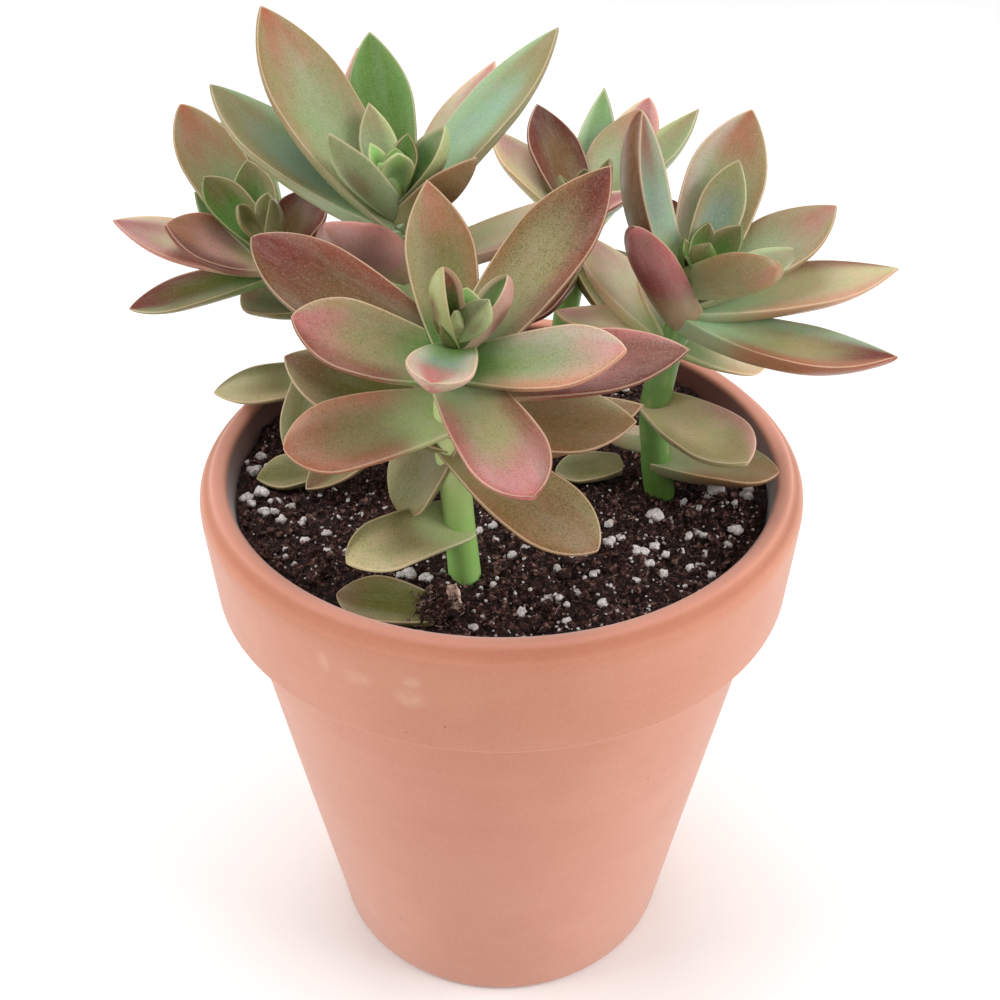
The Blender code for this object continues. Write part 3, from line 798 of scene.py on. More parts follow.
# %% Palette
# screen colours, in round numbers
TONES = {
    "lime": (150, 195, 110),
    "green": (110, 145, 80),
    "leaf": (90, 125, 55),
    "deep": (60, 90, 35),
    "teal": (115, 150, 110),
    "mist": (165, 195, 155),
    "frost": (150, 180, 155),
    "slate": (125, 145, 130),
    "sage": (145, 155, 115),
    "celery": (180, 195, 140),
    "lettuce": (200, 215, 150),
    "cream": (230, 215, 185),
    "sand": (200, 185, 145),
    "khaki": (150, 140, 100),
    "olive": (115, 110, 65),
    "moss": (95, 95, 40),
    "bronze": (140, 110, 75),
    "umber": (110, 80, 50),
    "rust": (165, 110, 85),
    "brick": (130, 75, 60),
    "wine": (110, 50, 45),
    "garnet": (85, 30, 20),
    "coral": (200, 150, 125),
    "rose": (175, 110, 110),
    "pink": (200, 150, 145),
    "plum": (140, 95, 95),
    "pearl": (190, 180, 165),
}
TONES = {name: linear(colour) for name, colour in TONES.items()}

# %% [markdown]
# ### Colourings
# A leaf's colour is a story: green where it is young or shaded, olive and bronze as it ages,
# red and pink where the sun reaches it. Each story below names five tones of the palette: for
# the root, the middle and the tip, then for the edge that lies away from the eye and the
# edge that lies towards it. The rows of leaves pick their story by name.

# %% Colourings
COLOURINGS = {
    # leaves in full sun, on the front, left and right stems
    "sunset": "sage khaki wine bronze brick",
    "sunned": "olive umber wine brick umber",
    "warm": "celery khaki rust coral rust",
    "warm tip": "leaf olive rust bronze khaki",
    "rosy": "sage khaki rose brick rose",
    "freckled red": "sand rose brick rose wine",
    "red tip": "green moss wine wine sage",
    "blushing": "green khaki rose khaki brick",
    "pearly": "green sage pink pearl coral",
    "dusky": "sage khaki rust khaki khaki",
    "ruddy rim": "mist sand sand brick coral",
    "frost over red": "mist khaki wine frost rust",
    "ember": "celery slate brick frost umber",
    "ruddy": "sand pink rust rust wine",
    "misty": "green slate rose pearl pearl",
    "pearly sun": "celery sage rust pearl khaki",
    # older leaves low on the stems, and those that hide behind others
    "old green": "sage khaki bronze olive bronze",
    "bronzed": "khaki bronze bronze khaki bronze",
    "autumn": "sand sand khaki pink khaki",
    "straw": "celery khaki sand olive sand",
    "mossy": "olive moss umber olive khaki",
    "shaded": "khaki olive olive khaki khaki",
    # green and waxy leaves, on the stems behind the front one
    "green": "green leaf leaf green green",
    "moss green": "green leaf olive khaki leaf",
    "fresh": "green green sage mist celery",
    "teal": "teal teal green mist teal",
    "plain sage": "teal sage khaki celery sage",
    "rusty tip": "sage sage rust khaki khaki",
    "frosted": "mist frost khaki mist khaki",
    "slate": "green slate khaki khaki sage",
    # leaves that turn their backs to the eye or lie well behind
    "red back": "khaki plum pink wine pink",
    "wine back": "khaki wine rose garnet rose",
    "bronze back": "celery umber bronze umber bronze",
    "dark back": "moss umber garnet garnet wine",
    # partly painted light: the cream lightens these pale leaves for light shining through them
    "pale": "celery cream pink cream sand",
    "pale rosy": "celery cream rose cream pink",
    # the small leaves of the hearts
    "heart": "lime green lime celery celery",
    "dark heart": "deep leaf leaf olive olive",
    "sage heart": "celery sage olive sage celery",
    "red heart": "leaf deep brick brick celery",
    "rosy heart": "lime green leaf plum pink",
}

# %% Leaf rows
# name, height, heading, rise, length, width, curl, roll, bluntness, colouring, freckles
# sizes in mm and angles in degrees; bluntness and freckles run from 0 to 1
# the rows named "bud" are the tiny heart leaves that close over the end of the stem
FRONT_STEM = [(-5.6, -27.5, 95), (-7.2, -28, 118), (-8.2, -28, 134), (-7.2, -28, 142), (-6.2, -28.3, 148)]
FRONT_LEAVES = [
    ("A1", 144, 102, 40, 30, 11, 12, 0, 0, "warm tip", 0.3),
    ("A2", 143, 38, 39, 38.5, 12.5, 14, 0, 0.3, "sunset", 1.0),
    ("A3", 142, 158, 26, 37, 13.5, 8, 0, 0.7, "sunned", 0.7),
    ("A4", 143, -179, 20, 25.5, 12.5, 10, 0, 0.7, "blushing", 0.6),
    ("A5", 135, -167, -7, 26, 13, 6, 0, 0.9, "warm", 0.6),
    ("A6", 141, -68, -3, 31, 12.2, -12, 0, 1, "rosy", 0.5),
    ("A7", 143, -22, 18, 28, 11, 4, 0, 0.5, "pearly", 0.5),
    ("A8", 140, -3, 11, 36, 11.5, 4, 0, 0.3, "freckled red", 1.0),
    ("A9", 146.2, -100, 15, 19.4, 10, -10, 0, 1, "misty", 0.4),
    ("A10", 146.7, -121, 76, 15.0, 6.4, 16, 45, 0.3, "red heart", 0.2),
    ("A11", 147, 34, 46, 12.4, 7.0, 34, -40, 0.7, "rosy heart", 0.2),
    ("A12", 147.8, -26, 58, 9.2, 4.9, 10, -140, 0.0, "sage heart", 0.2),
    ("A13", 147.6, -105, 66, 7.0, 3.6, 10, 180, 0.2, "sage heart", 0.0),
    ("A14", 147.4, 70, 66, 8.0, 6.4, 26, 0, 0.3, "heart", 0.0),
    ("bud A1", 146.5, 175, 70, 8.0, 4.6, 20, 0, 0.3, "dark heart", 0.0),
    ("bud A2", 146.5, -40, 76, 7.4, 4.0, 16, 180, 0.3, "dark heart", 0.0),
    ("bud A3", 147.0, 95, 76, 7.0, 4.4, 20, 0, 0.3, "dark heart", 0.0),
    ("bud A4", 146.5, -150, 62, 6.0, 4.0, 24, 175, 0.4, "dark heart", 0.0),
    ("A15", 130, 155, 14, 30.5, 11.5, -4, 0, 0.5, "mossy", 0.5),
    ("A16", 129, -41, -12, 30, 12, -6, 0, 0.8, "bronzed", 1.0),
    ("A17", 114, -141, 6, 22, 9.8, -4, 0, 0.7, "straw", 0.7),
    ("A18", 131, 170, -58, 18, 11, -10, 0, 1, "shaded", 0.4),
    ("A19", 133, 0, 0, 29, 12, 0, 0, 0.3, "bronzed", 0.5),
    ("A21", 126, 15, 9, 32, 10, 0, 0, 0, "bronzed", 0.3),
    ("A22", 126, 120, -8, 26, 10, -6, 0, 0, "shaded", 0.3),
]

TOP_STEM = [(-14, 8, 95), (-15.8, 7.5, 122), (-16.8, 4, 142), (-17.1, 2, 157)]
TOP_LEAVES = [
    ("B1", 153, 143, 47, 40, 15.5, 16, 0, 0.3, "rusty tip", 0.3),
    ("B2", 152, 154, 27, 39, 13.5, 16, 0, 0.3, "frosted", 0.2),
    ("B3", 153, 102, 42, 33.5, 11, 10, 0, 0.3, "green", 0.2),
    ("B4", 151, 105, 33, 36.5, 11, 10, 0, 0, "pale rosy", 0.0),
    ("B5", 153, 30, 41, 40, 11.5, 8, 0, 0.2, "frosted", 0.0),
    ("B6", 150, 57, 35, 35.5, 10, 10, 0, 0, "pale", 0.0),
    ("B7", 155, 113, 48, 18, 6.5, 12, 0, 0, "plain sage", 0.0),
    ("B8", 156, 15, 55, 14.5, 8, 26, 0, 0.2, "fresh", 0.0),
    ("B9", 153, -11, 41, 17.5, 8.6, 10, -35, 0.2, "bronze back", 0.4),
    ("B10", 155.2, -160, 53, 17.2, 8.4, 16, 35, 0.2, "plain sage", 0.4),
    ("B11", 144, -130, 39, 21.5, 11.5, 6, 40, 0.5, "red back", 0.3),
    ("B12", 143, 8, 16, 42, 10.5, -4, 0, 0, "pale rosy", 0.0),
    ("B13", 143, 161, 38, 11, 8, 0, 0, 0.5, "teal", 0.0),
    ("B14", 114.5, -142, -20, 26, 9.5, -4, 0, 0.5, "mossy", 0.3),
    ("B15", 157.6, -74, 66, 8.8, 5.6, 14, 178, 0.2, "heart", 0.0),
    ("B16", 157.4, 150, 60, 9.0, 4.4, 20, 0, 0, "heart", 0.0),
    ("bud B1", 156.6, 60, 66, 10.5, 5.0, 20, 0, 0.3, "dark heart", 0.0),
    ("bud B2", 157, -170, 66, 6.4, 4.2, 24, 150, 0.3, "heart", 0.0),
    ("bud B3", 156, 90, 72, 8.5, 5.0, 20, 0, 0.3, "heart", 0.0),
    ("B17", 142, 90, 0, 26, 10, 0, 0, 0, "shaded", 0.0),
    ("B18", 139, 48, -8, 18, 9.5, 0, 0, 0, "shaded", 0.0),
    ("B19", 138, 132, -10, 24, 9.5, 0, 0, 0, "shaded", 0.0),
]

LEFT_STEM = [(-27, 20, 95), (-30, 20, 112), (-36, 20, 128), (-43, 20, 142)]
LEFT_LEAVES = [
    ("C1", 137.5, 136, 43, 32, 11.5, 14, 0, 0.6, "rusty tip", 0.0),
    ("C2", 136.5, 115, 38, 32, 10, 10, 0, 0, "teal", 0.0),
    ("C3", 135.5, -178, 18, 30, 10, 10, 0, 0.2, "pale rosy", 0.0),
    ("C4", 136.5, -169, 25, 20.5, 12, 14, 0, 0.4, "ruddy", 0.5),
    ("C5", 135, -175, -14, 29, 8.5, -10, 0, 0.5, "red tip", 0.2),
    ("C6", 139.5, 158, 44, 16, 8, 14, 0, 0.6, "moss green", 0.0),
    ("C7", 139.5, 111, 48, 16, 8, 14, 0, 0.3, "moss green", 0.0),
    ("C8", 137.5, 49, 38, 14, 11, 10, 0, 0.8, "dark back", 0.0),
    ("C9", 127.5, 152, -4, 14.5, 10, -8, 0, 0.5, "mossy", 0.0),
    ("C10", 136.5, 149, 27, 20, 8, 8, 0, 0, "teal", 0.0),
    ("C11", 112.5, -170, -3, 24, 9.5, -6, 0, 0.5, "straw", 0.0),
    ("C12", 120, -109, -45, 23.5, 9, -8, 0, 0.5, "shaded", 0.0),
    ("C13", 140, -60, 66, 11, 7, 20, 0, 0, "shaded", 0.0),
    ("bud C1", 141, -150, 62, 8, 5.0, 24, 0, 0.3, "shaded", 0.0),
    ("bud C2", 141, 60, 70, 8, 5.0, 24, 0, 0.3, "shaded", 0.0),
    ("C14", 134, 62, 10, 17, 9.5, 6, 0, 0.3, "shaded", 0.0),
    ("C15", 129.5, 100, -8, 25, 10, 0, 0, 0.3, "shaded", 0.0),
]

RIGHT_STEM = [(29.6, -3.9, 95), (27.2, -4, 110), (26.4, -4, 121), (28.6, -4, 134), (31.6, -3.5, 146)]
RIGHT_LEAVES = [
    ("D1", 142, 155, 72, 31.5, 12.5, 35, 0, 0.3, "ember", 0.2),
    ("D2", 142, 63, 43, 34, 13.5, 12, 0, 0.3, "pearly sun", 0.2),
    ("D3", 144, 58, 48, 22, 8, 12, 0, 0.3, "slate", 0.0),
    ("D4", 145, 16, 48, 11.5, 6.5, 16, 0, 0.1, "moss green", 0.0),
    ("D5", 142, 26, 20, 30, 12, 12, 0, 0.3, "rusty tip", 0.0),
    ("D6", 145, -38, 27, 16.5, 11.5, 8, -35, 1, "dusky", 0.4),
    ("D7", 143, 17, 13, 20, 7.5, 8, 0, 0.3, "plain sage", 0.0),
    ("D8", 140, 13, 4, 38, 11.5, 6, 0, 0, "ruddy rim", 0.0),
    ("D9", 139.2, -16, -5, 35.5, 13, 28, 0, 0, "frost over red", 0.0),
    ("D10", 139, -152, 60, 20.5, 10, 10, 40, 1, "wine back", 0.3),
    ("D11", 133.5, 120, 17, 28, 12, 6, 0, 0.3, "pale", 0.0),
    ("D12", 134.5, 38, -24, 28, 12, -6, 30, 0.3, "pale", 0.0),
    ("D13", 121.5, -57, 3, 24, 12.5, -16, 22, 0.8, "autumn", 0.3),
    ("D14", 110, -12, 0, 21.5, 11, -6, 0, 0.8, "old green", 0.0),
    ("D15", 113.5, 123, -18, 16, 9, -4, 0, 0.5, "pale", 0.0),
    ("D16", 145.5, -60, 66, 8, 5, 20, 0, 0, "moss green", 0.0),
    ("bud D1", 145, 150, 72, 7, 4.4, 24, 0, 0.1, "moss green", 0.0),
    ("bud D2", 145, 60, 62, 9.5, 5.0, 18, 0, 0.1, "moss green", 0.0),
    ("bud D3", 144.5, -130, 62, 6.0, 4.0, 24, 175, 0.2, "moss green", 0.0),
    ("D18", 134.5, 152, -2, 22, 10, 0, 0, 0.3, "pale", 0.0),
    ("D19", 134.5, 92, 2, 26, 10, 0, 0, 0.3, "pale", 0.0),
    ("D17", 138, 90, 27, 24.5, 9, 6, 0, 1, "dark back", 0.0),
]

BACK_STEM = [(10, 28, 95), (12, 28, 120), (14, 28, 135), (15.5, 28, 145)]
BACK_LEAVES = [
    ("E1", 137, 79, 33, 33.5, 7.5, 10, 0, 0, "teal", 0.0),
    ("E2", 141, 114, 35, 25, 10.5, 12, 0, 0.2, "dark back", 0.0),
    ("E3", 142, 62, 27, 26, 11.5, 14, 0, 0.3, "rusty tip", 0.0),
    ("E6", 139, 60, 31, 31, 11, 12, 0, 0.5, "pale rosy", 0.0),
    ("E4", 141, 38, 27, 31, 9.5, 8, 0, 0, "plain sage", 0.0),
    ("E5", 140, 134, 25, 26, 10, 10, 0, 0.3, "pale", 0.0),
    ("E7", 132, -134, -23, 17.5, 9, -6, 0, 0.3, "dark back", 0.0),
    ("E8", 133, -38, -42, 16.5, 8, -4, 0, 0.3, "mossy", 0.0),
    ("E9", 134, 100, 5, 26, 10, 0, 0, 0, "shaded", 0.0),
    ("E10", 132, 30, -5, 12, 10, 0, 0, 0, "shaded", 0.0),
    ("E12", 143, -95, 48, 9, 6, 20, 0, 0, "shaded", 0.0),
    ("E13", 144, 20, 62, 9, 5.5, 20, 0, 0, "shaded", 0.0),
    ("E14", 143, 178, 52, 8, 6, 20, 0, 0, "shaded", 0.0),
    ("bud E1", 143, -30, 70, 7, 4.6, 24, 0, 0.3, "shaded", 0.0),
    ("bud E2", 143, 100, 72, 7, 4.6, 24, 0, 0.3, "shaded", 0.0),
    ("E11", 133, 178, 12, 17, 9, 0, 0, 0, "shaded", 0.0),
]

# %% [markdown]
# ### The form of one leaf
# The outline widens from a broad root to about three fifths of the length and closes to a
# point. Across, the upper face is a shallow hollow and the lower one changes from a round
# belly near the root to a ridge at the tip. A small wave and a slight twist, drawn for each
# leaf, keep the leaves from looking stamped.

# %% Leaf form
LEAF_SIDES = 40
LEAF_RINGS = 46
# thickness of the edge above and below, as shares of the leaf's width
UPPER_EDGE = 0.052
LOWER_EDGE = 0.062
# depth of the keel and of the hollow, as shares of the half width
KEEL_DEPTH = 0.44
CUPPING = 0.22
# distance in mm from the rim to the middle of the pale line
RIM_LINE = 0.30
# share of the length where a pointed leaf is widest
WIDEST = 0.58
# above 1 it crowds a leaf's rings towards the tip, where the outline turns fastest
TIP_CROWDING = 1.35
# where a leaf on a stem starts, as a share of its length: a little inside the stem
SUNK_ROOT = -0.06
# the root closes in a round over this share of the length, from this share of its width
ROOT_ROUND = 0.10
GROWN_ROOT = 0.72
BROKEN_ROOT = 0.3
# how far the margins of leaves at or near a heart are folded towards each other
FOLDED = {
    "A10": 1.0, "A11": 0.8, "A12": 0.3, "A13": 0.4,
    "B8": 0.6, "B9": 0.3, "B10": 0.35, "D1": 0.25, "D10": 0.2,
}
# leaves whose root is nearly as wide as their middle, as a share of the width
BROAD_ROOTS = {"A17": 0.86, "D10": 0.82, "A6": 0.66, "A5": 0.62, "A16": 0.5}


def direction(heading, rise):
    """Unit vector of a compass heading and a rise, both in degrees."""
    turn = math.radians(heading)
    lift = math.radians(rise)
    level = math.cos(lift)
    return Vector((level * math.cos(turn), level * math.sin(turn), math.sin(lift)))


def half_width(share, blunt, root):
    """Half width at a share of the length, 1 at the widest place, given that of the root."""
    widest = WIDEST + 0.09 * blunt
    if share < widest:
        return root + (1.0 - root) * math.sin(math.pi / 2 * max(share, 0.0) / widest)
    away = (share - widest) / (1.0 - widest)
    return max(0.0, 1.0 - away ** (1.9 + 0.2 * blunt)) ** (1.0 - 0.38 * blunt)


def leaf_axes(facing, heading, rise, roll):
    """Directions along the leaf, across it and out of its upper face."""
    along = direction(heading, rise)
    upper = (facing - facing.dot(along) * along).normalized()
    across = along.cross(upper)
    turn = math.radians(roll)
    return (
        along,
        across * math.cos(turn) - upper * math.sin(turn),
        upper * math.cos(turn) + across * math.sin(turn),
    )


def leaf_skin(share, angle, length, width, curl, blunt, fold, root_width, start):
    """A place on the skin: its distances along, across and up, in mm.

    Then come the half width there and the gap to the rim, negative on the lower face.
    """
    bend = math.radians(curl if abs(curl) > 0.01 else 0.01)
    radius = length / (2.0 * math.sin(bend / 2.0))
    turn = bend * (share - 0.5)
    forward = radius * (math.sin(turn) + math.sin(bend / 2.0))
    lift = radius * (math.cos(bend / 2.0) - math.cos(turn))
    outline = half_width(share, blunt, root_width)
    # the root closes in a round where it joins the stem, or where it broke off
    rooted = min(max((share - start) / ROOT_ROUND, 0.0), 1.0)
    bare = GROWN_ROOT if start < 0.0 else BROKEN_ROOT
    outline *= bare + (1.0 - bare) * math.sqrt(rooted * (2.0 - rooted))
    half = width / 2.0 * outline * (1.0 - 0.2 * fold)
    thin = 1.0 if share <= WIDEST else max(0.0, outline) ** 0.62
    keel = min(max((share - 0.3) / 0.6, 0.0), 1.0)
    side = abs(math.cos(angle))
    height = abs(math.sin(angle))
    round_edge = math.sqrt(max(0.0, 1.0 - side ** 6))
    if math.sin(angle) >= 0.0:
        skin = UPPER_EDGE * width * thin * round_edge
    else:
        belly = (1.0 - keel) * height ** 1.2
        ridge = keel * (1.0 - side ** 1.3)
        skin = -KEEL_DEPTH * (1.0 - 0.4 * fold) * width / 2.0 * thin * (belly + ridge)
        skin -= LOWER_EDGE * width * thin * round_edge
    hollow = CUPPING * (1.0 - 0.85 * ease(0.5, 0.95, share))
    rim = hollow * half * 0.5 + fold * half * 0.5
    skin += hollow * half * (side ** 2 - 0.5) + fold * half * (side ** 1.4 - 0.5)
    gap = math.hypot(half * (1.0 - side), skin - rim) * (1.0 if math.sin(angle) >= 0.0 else -1.0)
    forward -= skin * math.sin(turn)
    lift += skin * math.cos(turn)
    return forward, half * math.cos(angle), lift, half, gap


# %% [markdown]
# ### The tone of one leaf
# The sun brings out the red and brown first at the tip and along the edges, and the root
# stays green. So every vertex gets a tone from the leaf's five, by its share of the length
# and its distance from the middle line. The mesh is fine enough to carry the soft changes,
# and the material adds the sharp ones, such as the pale line of the edge and the freckles.

# %% Leaf tone
# what a flush of red does to the red, green and blue of a margin
FLUSH = (1.04, 0.84, 0.80)


def leaf_tones(colouring, across):
    """Tones of the root, middle, tip, left and right edge of a leaf that lies a certain way."""
    root, middle, tip, far, near = (TONES[word] for word in COLOURINGS[colouring].split())
    # the right edge lies along the direction across the leaf, and +Y leads away from the eye
    return (root, middle, tip, near, far) if across.y > 0.0 else (root, middle, tip, far, near)


def leaf_tone(tones, share, across, upper, wander, fold):
    """Colour of a place on a leaf. across runs from -1 to 1, upper is 1 on the upper face."""
    root, middle, tip, left, right = tones
    away = share + 0.10 * wander
    colour = blend(root, middle, ease(0.14, 0.52, away + 0.06 * abs(across)))
    colour = blend(colour, tip, ease(0.55, 0.92, away + 0.08 * abs(across)))
    edge = blend(left, right, ease(-0.2, 0.2, across))
    rim = ease(0.30, 0.88, abs(across)) * ease(0.14, 0.45, away)
    if upper > 0.0:
        edge_share = (0.88 - 0.6 * min(fold, 1.0)) * rim
    else:
        edge_share = max(0.30 + 0.55 * rim, min(1.6 * fold, 0.85))
    colour = blend(colour, edge, edge_share)
    # the backs of the folded leaves carry a red-brown stain
    from_stain = math.hypot(1.6 * (share - 0.5), abs(across) - 0.40)
    stain = min(1.2 * fold, 0.75) * ease(0.45, 0.12, from_stain)
    if upper < 0.0:
        colour = blend(colour, TONES["wine"], stain)
    # a sunned leaf flushes red right at its margin
    sunned = ease(0.0, 0.9, tip[0] / tip[1] - 1.0)
    sunned *= 1.0 - 0.8 * min(fold, 1.0) * (upper > 0.0)
    margin = ease(0.62, 1.0, max(abs(across), ease(0.80, 1.0, share)))
    flush = sunned * margin * ease(0.2, 0.5, share)
    return tuple(part * (1.0 + flush * (gain - 1.0)) for part, gain in zip(colour, FLUSH))


LAYERS = {
    "tint": "float_color",
    "skin_place": "float_vector",
    "edge_gap": "float",
    "freckle": "float",
}


def layered_sphere(name, sides, rings):
    """Mesh of a unit sphere that carries the layers of leaves and stems."""
    bm = bmesh.new()
    bmesh.ops.create_uvsphere(bm, u_segments=sides, v_segments=rings, radius=1.0)
    for layer, kind in LAYERS.items():
        getattr(bm.verts.layers, kind).new(layer)
    return as_mesh(bm, name)


def opened(mesh):
    """Bmesh of a mesh with its layers by name."""
    bm = bmesh.new()
    bm.from_mesh(mesh)
    return bm, {layer: getattr(bm.verts.layers, kind)[layer] for layer, kind in LAYERS.items()}


def ring_of(vert, rings):
    """Number of the ring that a vertex of a unit sphere is on, counted from below."""
    return round(math.acos(max(-1.0, min(1.0, -vert.co.z))) / math.pi * rings)


def merged(plant, part):
    """Add a part's bmesh to the plant's and drop the part."""
    mesh = as_mesh(part, "part")
    plant.from_mesh(mesh)
    bpy.data.meshes.remove(mesh)


LEAF_BALL = layered_sphere("leaf_ball", LEAF_SIDES, LEAF_RINGS)


def add_leaf(plant, root, facing, row, start=SUNK_ROOT):
    """Add one leaf to a plant's bmesh."""
    name, _, heading, rise, length, width, curl, roll, blunt, colouring, freckles = row
    fold = FOLDED.get(name, 0.0)
    root_width = BROAD_ROOTS.get(name, 0.48 + 0.08 * blunt)
    own = random.Random(name)
    phase = own.uniform(0.0, math.tau)
    wave = own.uniform(0.010, 0.022) * width
    sway = own.uniform(-0.012, 0.012) * length
    twist = math.radians(own.uniform(-5.0, 5.0))
    shift = Vector((own.uniform(0, 90), own.uniform(0, 90), 0.0))
    leaf, layers = opened(LEAF_BALL)
    along, across, upper = leaf_axes(facing, heading, rise, roll)
    tones = leaf_tones(colouring, across)
    for vert in leaf.verts:
        ring = ring_of(vert, LEAF_RINGS)
        angle = math.atan2(vert.co.y, vert.co.x)
        angle -= 0.25 * math.sin(2.0 * angle)
        share = ring / LEAF_RINGS
        share = start + (1.0 - start) * (1.0 - (1.0 - share) ** TIP_CROWDING)
        pole = ring in (0, LEAF_RINGS)
        forward, sideways, up, half, gap = leaf_skin(
            share,
            math.pi / 2 if pole else angle,
            length,
            width,
            curl,
            blunt,
            fold,
            root_width,
            start,
        )
        if ring == 0:
            up = 0.0
        turn = twist * (share - 0.4)
        sideways, up = (
            sideways * math.cos(turn) - up * math.sin(turn),
            sideways * math.sin(turn) + up * math.cos(turn),
        )
        body = math.sin(math.pi * min(max(share, 0.0), 1.0))
        sideways += sway * body + wave * 0.4 * math.sin(7.0 * share + phase) * body
        up += wave * 0.5 * math.sin(5.0 * share + phase * 1.7) * body
        vert.co = (Vector(root) + along * forward + across * sideways + upper * up) * MM
        side = math.cos(angle)
        wander = noise.noise(Vector((share * 3.0, side * 1.2, 0.0)) + shift)
        face = 1.0 if math.sin(angle) > -0.02 else -1.0
        tone = leaf_tone(tones, share, side, face, wander, fold)
        vert[layers["tint"]] = (*tone, 1.0)
        vert[layers["skin_place"]] = (half * side + shift.x, length * share + shift.y, face)
        # the pale line is wider on the folded leaves, so that it shows from behind
        line_gap = RIM_LINE + (gap - RIM_LINE) / (1.0 + 3.5 * min(3.0 * fold, 1.0))
        vert[layers["edge_gap"]] = RIM_LINE if ring == LEAF_RINGS else line_gap
        vert[layers["freckle"]] = freckles * ease(0.1, 0.6, share) * (1.0 if face > 0 else 0.6)
    merged(plant, leaf)


# %% [markdown]
# ### The stems
# The stems are smooth, fleshy and light green, a little swollen where leaves have grown, and
# most of them a shade deeper at the soil. Each is a sphere too, laid out along the smooth
# curve through the solid's own points.

# %% Stem form
STEM_SIDES = 36
STEM_RINGS = 90
SCARS = 9
SCAR_TONE = linear((176, 180, 120))
# a gap in mm so wide that no pale line shows on a stem
NO_EDGE = 9.0
# top, middle and foot tone of each stem
STEM_TONES = {
    "rosette_front": "lettuce lettuce lime",
    "rosette_top": "celery celery sage",
    "rosette_left": "sage sage olive",
    "rosette_right": "green green leaf",
    "rosette_back": "lime lime celery",
}


def on_stem(path, height):
    """Point of a stem's centre line at a height in mm."""
    for low, high in zip(path, path[1:]):
        if height <= high[2]:
            break
    share = (height - low[2]) / (high[2] - low[2])
    return Vector(low).lerp(Vector(high), share)


def curve_point(path, share):
    """Point of the smooth curve through a stem's centre points, share 0 to 1."""
    ends = [Vector(point) for point in path]
    ends = [ends[0] * 2 - ends[1]] + ends + [ends[-1] * 2 - ends[-2]]
    place = share * (len(path) - 1)
    span = min(int(place), len(path) - 2)
    t = place - span
    a, b, c, d = ends[span:span + 4]
    squared = (a * 2 - b * 5 + c * 4 - d) * t ** 2
    cubed = (b * 3 - a - c * 3 + d) * t ** 3
    return (b * 2 + (c - a) * t + squared + cubed) * 0.5


def add_stem(plant, path, radius, seed, tones):
    """Add one stem to a plant's bmesh."""
    top_tone, middle_tone, foot_tone = (TONES[word] for word in tones.split())
    own = random.Random(seed)
    scars = [(own.uniform(0.25, 0.95), own.uniform(0.0, math.tau)) for _ in range(SCARS)]
    stem, layers = opened(layered_sphere("stem_ball", STEM_SIDES, STEM_RINGS + 1))
    for vert in stem.verts:
        ring = ring_of(vert, STEM_RINGS + 1)
        turn = math.atan2(vert.co.y, vert.co.x)
        share = min(max((ring - 1) / (STEM_RINGS - 1), 0.0), 1.0)
        centre = curve_point(path, share)
        ahead = curve_point(path, min(share + 0.02, 1.0)) - curve_point(path, max(share - 0.02, 0.0))
        ahead.normalize()
        side = ahead.cross(Vector((0.0, 1.0, 0.0))).normalized()
        front = ahead.cross(side)
        # slimmer towards the crown, where the end closes in a round
        thick = radius * (1.0 - 0.12 * share - 0.5 * share ** 6)
        thick *= math.sqrt(1.0 - max(0.0, share - 0.94) / 0.0601)
        lump = Vector((math.cos(turn), math.sin(turn), share * 9.0 + seed))
        thick += 0.10 * math.sin(19.0 * share + seed) + 0.06 * noise.noise(lump)
        mark = 0.0
        for where, facing in scars:
            gap = math.hypot((share - where) * 26.0, math.sin((turn - facing) / 2.0) * 5.0)
            mark = max(mark, 1.0 - gap)
        thick += 0.14 * ease(0.0, 1.0, mark)
        if ring in (0, STEM_RINGS + 1):
            thick = 0.0
        vert.co = (centre + (side * math.cos(turn) + front * math.sin(turn)) * thick) * MM
        tone = blend(middle_tone, top_tone, ease(0.55, 0.95, share))
        tone = blend(foot_tone, tone, ease(0.14, 0.4, share))
        tone = blend(tone, SCAR_TONE, 0.35 * ease(0.1, 0.9, mark))
        vert[layers["tint"]] = (*tone, 1.0)
        vert[layers["skin_place"]] = (turn * 2.7 + seed * 9.0, share * 55.0, 0.0)
        vert[layers["edge_gap"]] = NO_EDGE
        vert[layers["freckle"]] = 0.0
    merged(plant, stem)


# %% [markdown]
# ### The skin
# The skin is waxy. It carries a thin whitish bloom that is rubbed off in places, tiny dark
# freckles on the sunned parts, faint lines along the leaf and, right at the edge, a pale,
# almost clear line. Under the wax the flesh is wet, so some light passes into it.

# %% Leaf material
# gains on red, green and blue for the three ways in which the flesh varies
GREENER = (0.86, 1.0, 0.80)
REDDER = (1.05, 0.90, 0.88)
DARKER = (0.66, 0.62, 0.56)

skin = Finish("leaf_skin")
tint = skin.attribute("tint", "Color")
skin_place = skin.attribute("skin_place", "Vector")
edge_gap = skin.attribute("edge_gap", "Fac")
freckle_amount = skin.attribute("freckle", "Fac")
on_leaf = skin.maths("ABSOLUTE", skin.split(skin_place)["Z"])
mottle = skin.noise(380.0, 4.0, 0.6)
bloom = skin.noise(120.0, 4.0, 0.62)
streaks = skin.noise(1.0, 3.0, 0.55, skin.stretch(skin_place, (2.6, 0.3, 1.0)))
rubbed = skin.noise(1.0, 2.0, 0.5, skin.stretch(skin_place, (0.30, 0.055, 1.0)))
pores = skin.cells(2700.0)
pale_pores = skin.cells(2300.0, skin.stretch(skin.place, (1.0, 1.0, 1.0), (0.3, 0.1, 0.2)))
grit = skin.noise(2800.0, 2.0, 0.7)

